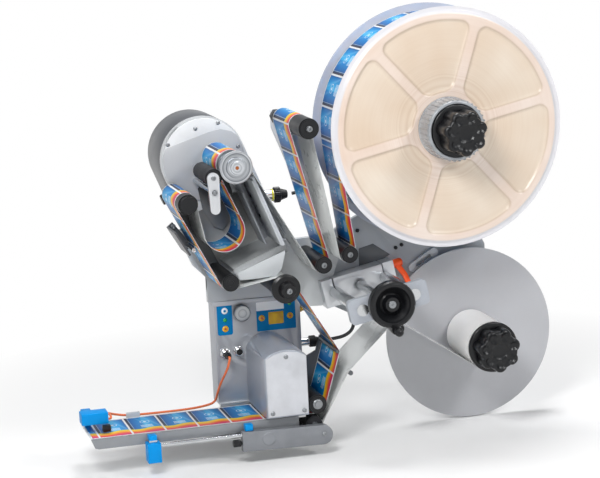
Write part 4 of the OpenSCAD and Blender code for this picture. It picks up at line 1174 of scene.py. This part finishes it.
class HEAD_OT_fittings(bpy.types.Operator):
    """Round plugs, glands, thumb screw, lead screw and the ends of rollers and axles"""
    bl_idname = "head.fittings"
    bl_label = "Fittings"

    def execute(self, context):
        # round plugs on the box and on the drive housing: shell, ribbed nut and stepped boot
        nut = [(0, 0), (8.2, 0), (9.4, 0.8), (10, 1.2), (10, 10.6), (9.4, 11), (8.2, 11.8), (0, 11.8)]
        boot = [(0, 0), (7.4, 0)]
        for k in range(6):
            h, r = 0.5 + k * 2.0, 7.4 - k * 0.45
            boot += [(r, h), (r, h + 1.2), (r - 0.9, h + 1.3), (r - 0.9, h + 1.9)]
        boot.append((0, 12.6))
        for name, x, y, z, length, size, node in (
                ("plug_motor", -103, -84, -98, 16.8, 1.0, ["connectors"]),
                ("plug_drive", -152, -62, 158, 21.6, 1.35, ())):
            shell = [(0, 0), (6.9, 0), (7, 0.6), (7, length), (0, length)]
            spun(name + ".shell", stretched(shell, size), (x, y, z), TO_RIGHT, "socket_metal",
                 replaces=node)
            spun(name + ".nut", stretched(nut, size), (x + length, y, z), TO_RIGHT,
                 "black_plastic", steps=96, ribs=24, rib=0.7)
            spun(name + ".boot", stretched(boot, size), (x + length + 11.6, y, z), TO_RIGHT,
                 "cable_black")
        spun("plug_drive.ring", [(0, 0), (10.2, 0), (10.2, 3), (0, 3)], (-134.4, -62, 158),
             TO_RIGHT, "yellow_ring")
        gland = [(0, 0), (6.5, 0), (6.5, 5), (5.6, 5.4), (5.6, 6.4), (6.5, 6.8), (6.5, 16),
                 (5.8, 19), (4.2, 22), (0, 22)]
        spun("gland.lower", gland, (0, -71.2, -32), DOWN, "black_plastic", ribs=12, rib=0.5)
        spun("gland.upper", stretched(gland, long=26 / 22), (16, -71.2, 78), TO_LEFT,
             "black_plastic", ribs=12, rib=0.5)
        # plug of the sensor cable and the two sockets
        spun("sensor_plug.shell", [
            (0, 0), (4.7, 0), (4.7, 8), (5.4, 8.2), (6, 8.8), (6, 15), (5.5, 15.6), (5, 16),
            (4.4, 19), (3, 22), (0, 22)], (-238, -108.6, -99), FORWARD, "black_plastic",
            ribs=20, rib=0.4, replaces=["sensor_plug"])
        thread = [(5, 0), (7.4, 0), (8.4, 0.6), (8.4, 2.2), (7.2, 2.6)]
        thread += [(6.8 if k % 2 == 0 else 7, 3 + 0.4 * k) for k in range(11)]
        thread += [(6.9, 11.8), (6.3, 12.2), (5.6, 12.2), (5.1, 11.6), (5, 0)]
        for x, z, node in ((-238, -99, ["sockets"]), (-215, -97, ())):
            spun(f"socket_{-x}.thread", thread, (x, PLATE, z), FORWARD, "socket_metal", replaces=node)
        spun("socket_-215.cap", [(0, 3), (4.9, 3), (4.9, 11), (4.2, 11.8), (0, 12)],
             (-215, PLATE, -97), FORWARD, "black_plastic")
        # steel lead screw, its centre-drilled end, and the copper coloured bolt of the spindle
        spun("lead_screw.bar", [(0, 0), (7.56, 0), (7.56, 233), (0, 233)], (0, -36.5, 0), FORWARD,
             "steel_bar", "handwheel")
        spun("lead_screw.end", [
            (0, 0), (6.4, 0), (6.4, 0.8), (5.8, 1.4), (1.9, 1.4), (1.2, 0.6), (0, 0.3)],
            (0, -301.2, 0), FORWARD, "screw", "handwheel")
        spun("spindle.bolt", [(0, 0), (3.4, 0), (3.4, 2.2), (2.9, 2.7), (0, 2.8)],
             (DRIVE[0], -259, DRIVE[1]), FORWARD, "copper", "drive_spindle", steps=6)
        # dull ends of the low and loop rollers, and the washers on the ends of two axles
        spun("low_roller.cap", [(0, 0), (4.9, 0), (4.9, 2.2), (4.5, 2.5), (0, 2.5)],
             (LOW[0], -223.1, LOW[1]), FORWARD, "roller_black", "low_roller")
        spun("loop_roller.cap", [(0, 0), (13.6, 0), (13.6, 0.5), (13, 0.9), (0, 1)],
             (LOOP[0], -235.4, LOOP[1]), FORWARD, "roller_black", "loop_roller")
        spun("infeed.washer", [
            (4, 0), (8.2, 0), (8.2, 0.9), (7.6, 1.3), (5.6, 1.3), (5.4, 1.0), (4.8, 2.2),
            (0, 2.4), (0, 0)], (INFEED[0], -219.2, INFEED[1]), FORWARD, "screw")
        spun("traction.washer", [(0, 0), (5.6, 0), (5.6, 0.9), (5.1, 1.3), (0, 1.4)],
             (TRACT[0], -219.2, TRACT[1] + 0.2), FORWARD, "dark_screw")
        # black knob beside the drive housing, stud of the web sensor and bracket of the dancer arm
        spun("drive_housing.knob", [
            (0, 0), (4, 0), (4, 7), (8.4, 7.6), (9, 8.4), (9, 19), (8, 20.4), (0, 20.6)],
            leaned() @ Vector((-71, -92, -33)), leaned().to_3x3() @ Vector(TO_LEFT),
            "black_plastic", steps=72, ribs=18, rib=0.7)
        spun("web_sensor.stud", [
            (0, 0), (3.4, 0), (3.4, 59), (4.4, 59.4), (4.4, 64), (3.8, 64.7), (2, 64.8),
            (1.8, 63.2), (0, 63)], (-294.5, -103.4, 95.5), FORWARD, "steel_bar")
        bracket = [(-141, 299), (-134.5, 309), (-122, 309), (-122, 287), (-136, 287)]
        plate("dancer_arm.bracket", bracket, -103.8, -102.9, "housing_grey", "dancer",
              width=0.2)
        # black thumb screw at the end of the beak bar
        spun("beak.thumb_screw", [
            (0, 0), (3.2, 0), (3.2, 2), (5.6, 2.4), (6, 3), (6, 14), (5.4, 15), (0, 15.2)],
            (-246, -229, -221.5), TO_LEFT, "black_plastic", steps=72, ribs=18, rib=0.6)
        return {"FINISHED"}


def screw_tree():
    """Instances one screw head at each point of a mesh, with named sizes."""
    tree = bpy.data.node_groups.new("screw heads", "GeometryNodeTree")
    for name, kind, way in (
            ("Points", "Geometry", "INPUT"), ("Head", "Object", "INPUT"), ("Size", "Float", "INPUT"),
            ("Finish", "Material", "INPUT"), ("Heads", "Geometry", "OUTPUT")):
        tree.interface.new_socket(name, in_out=way, socket_type="NodeSocket" + kind)
    into = tree.nodes.new("NodeGroupInput").outputs
    points = add(tree, "GeometryNodeMeshToPoints", {"Mesh": into["Points"]}).outputs[0]
    head = add(tree, "GeometryNodeObjectInfo", {"Object": into["Head"]}).outputs["Geometry"]
    heads = add(tree, "GeometryNodeInstanceOnPoints", {
        "Points": points, "Instance": head, "Scale": into["Size"]}).outputs[0]
    real = add(tree, "GeometryNodeRealizeInstances", {"Geometry": heads}).outputs[0]
    painted = add(tree, "GeometryNodeSetMaterial", {"Geometry": real, "Material": into["Finish"]})
    add(tree, "NodeGroupOutput", {"Heads": painted.outputs[0]})
    return tree


def head_shape(kind):
    """A unit screw head of 1 mm radius pointing to -Y, with a hexagon socket: a tall cap or a low pan."""
    steps = 30
    # radius, height, and whether the ring is a hexagon
    rings = [(1, 0, False), (1, -0.75, False), (0.9, -0.9, False), (0.72, -0.95, False),
             (0.5, -0.93, True), (0.5, -0.12, True)]
    if kind == "pan":
        rings = [(1.15, 0, False), (1.12, -0.28, False), (0.95, -0.5, False), (0.6, -0.62, False),
                 (0.36, -0.62, True), (0.3, -0.3, True)]
    verts, faces = [], []
    for r, y, hexagon in rings:
        for k in range(steps):
            a = 2 * math.pi * k / steps
            flat = math.cos((a + math.pi / 6) % (math.pi / 3) - math.pi / 6)
            reach = r / flat if hexagon else r
            verts.append((reach * math.cos(a) / 1000, y / 1000, reach * math.sin(a) / 1000))
    last = (len(rings) - 1) * steps
    for row in range(0, last, steps):
        faces += quads(row + steps, row, steps)
    faces += [tuple(range(steps)), tuple(reversed(range(last, last + steps)))]
    mesh = bpy.data.meshes.new("screw head " + kind)
    mesh.from_pydata(verts, [], faces)
    smooth(mesh, 35)
    return link("screw head " + kind, mesh)


class HEAD_OT_screws(bpy.types.Operator):
    """Screw heads on plates, rollers, covers and levers"""
    bl_idname = "head.screws"
    bl_label = "Screws"

    def execute(self, context):
        # body, kind, head radius, finish, and centres of the heads' feet in millimetres
        rows = (
            ("head", "pan", 3.0, "screw", [
                (-316, -103, 264), (-268, -103, 287), (-229, -103, 294), (-197, -103, 252)]),
            ("head", "cap", 4.4, "screw", [(-262, PLATE, 60), (-315.5, -103.5, 127)]),
            ("head", "cap", 3.2, "dark_screw", [
                (75.3, -87.7, 51.8), (86.1, -87.7, 55.9), (8, -87.7, 88)]),
            ("head", "pan", 3.4, "screw", [
                (-165, -230.98, -84.5), (-191.5, -230.98, -178), (-137.5, -230.98, -178),
                (-107, -236, -221)]),
            ("head", "cap", 4.8, "screw", [
                (GUIDE_R[0], -222, GUIDE_R[1]), (GUIDE_L[0], -222, GUIDE_L[1]),
                (TURN[0], -247, TURN[1])]),
            ("dancer", "cap", 4.9, "screw", [(DANCER[0], -272.9, DANCER[1])]),
            ("nip_lever", "cap", 4.0, "screw", [
                (NIP[0] - 3, -251.9, NIP[1] + 1), (NIP[0] - 1.5, -251.9, NIP[1] - 23)]),
        )
        tree = screw_tree()
        shapes = {kind: head_shape(kind) for kind in ("cap", "pan")}
        for number, (body, kind, radius, paint, places) in enumerate(rows):
            mesh = bpy.data.meshes.new("screws")
            mesh.from_pydata([(x / 1000, y / 1000, z / 1000) for x, y, z in places], [], [])
            holder = link("screws", mesh)
            modifier = holder.modifiers.new("screws", "NODES")
            modifier.node_group = tree
            values = {"Head": shapes[kind], "Size": float(radius), "Finish": FINISH[paint]}
            for item in tree.interface.items_tree:
                if item.name in values:
                    modifier[item.identifier] = values[item.name]
            context.view_layer.update()
            view = context.evaluated_depsgraph_get()
            made = bpy.data.meshes.new_from_object(holder.evaluated_get(view))
            bpy.data.objects.remove(holder)
            obj = link(f"screws_{body}_{number}", made)
            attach(obj, body)
        for shape in shapes.values():
            bpy.data.objects.remove(shape)
        return {"FINISHED"}


OPERATORS = (HEAD_OT_stage, HEAD_OT_cables, HEAD_OT_solids, HEAD_OT_web, HEAD_OT_reel,
             HEAD_OT_grips, HEAD_OT_panel, HEAD_OT_covers, HEAD_OT_fittings, HEAD_OT_screws)


class HEAD_PT_panel(bpy.types.Panel):
    """Lists the sizes and the operators of the head"""
    bl_idname = "HEAD_PT_panel"
    bl_label = "Labeling Head"
    bl_space_type = "VIEW_3D"
    bl_region_type = "UI"
    bl_category = "Labeling Head"

    def draw(self, context):
        for group in (context.scene.head_sizes, context.scene.head_stage):
            for key in group.__annotations__:
                self.layout.prop(group, key)
        for operator in OPERATORS:
            self.layout.operator(operator.bl_idname)


CLASSES = (HeadSizes, HeadStage) + OPERATORS + (HEAD_PT_panel,)


def register():
    for item in CLASSES:
        bpy.utils.register_class(item)
    bpy.types.Scene.head_sizes = PointerProperty(type=HeadSizes)
    bpy.types.Scene.head_stage = PointerProperty(type=HeadStage)


def unregister():
    del bpy.types.Scene.head_stage
    del bpy.types.Scene.head_sizes
    for item in reversed(CLASSES):
        bpy.utils.unregister_class(item)


def main():
    register()
    FINISH.update(finishes())
    for step in ("stage", "cables", "solids", "web", "reel", "grips", "panel", "covers",
                 "fittings", "screws"):
        getattr(bpy.ops.head, step)()


if __name__ == "__main__":
    main()
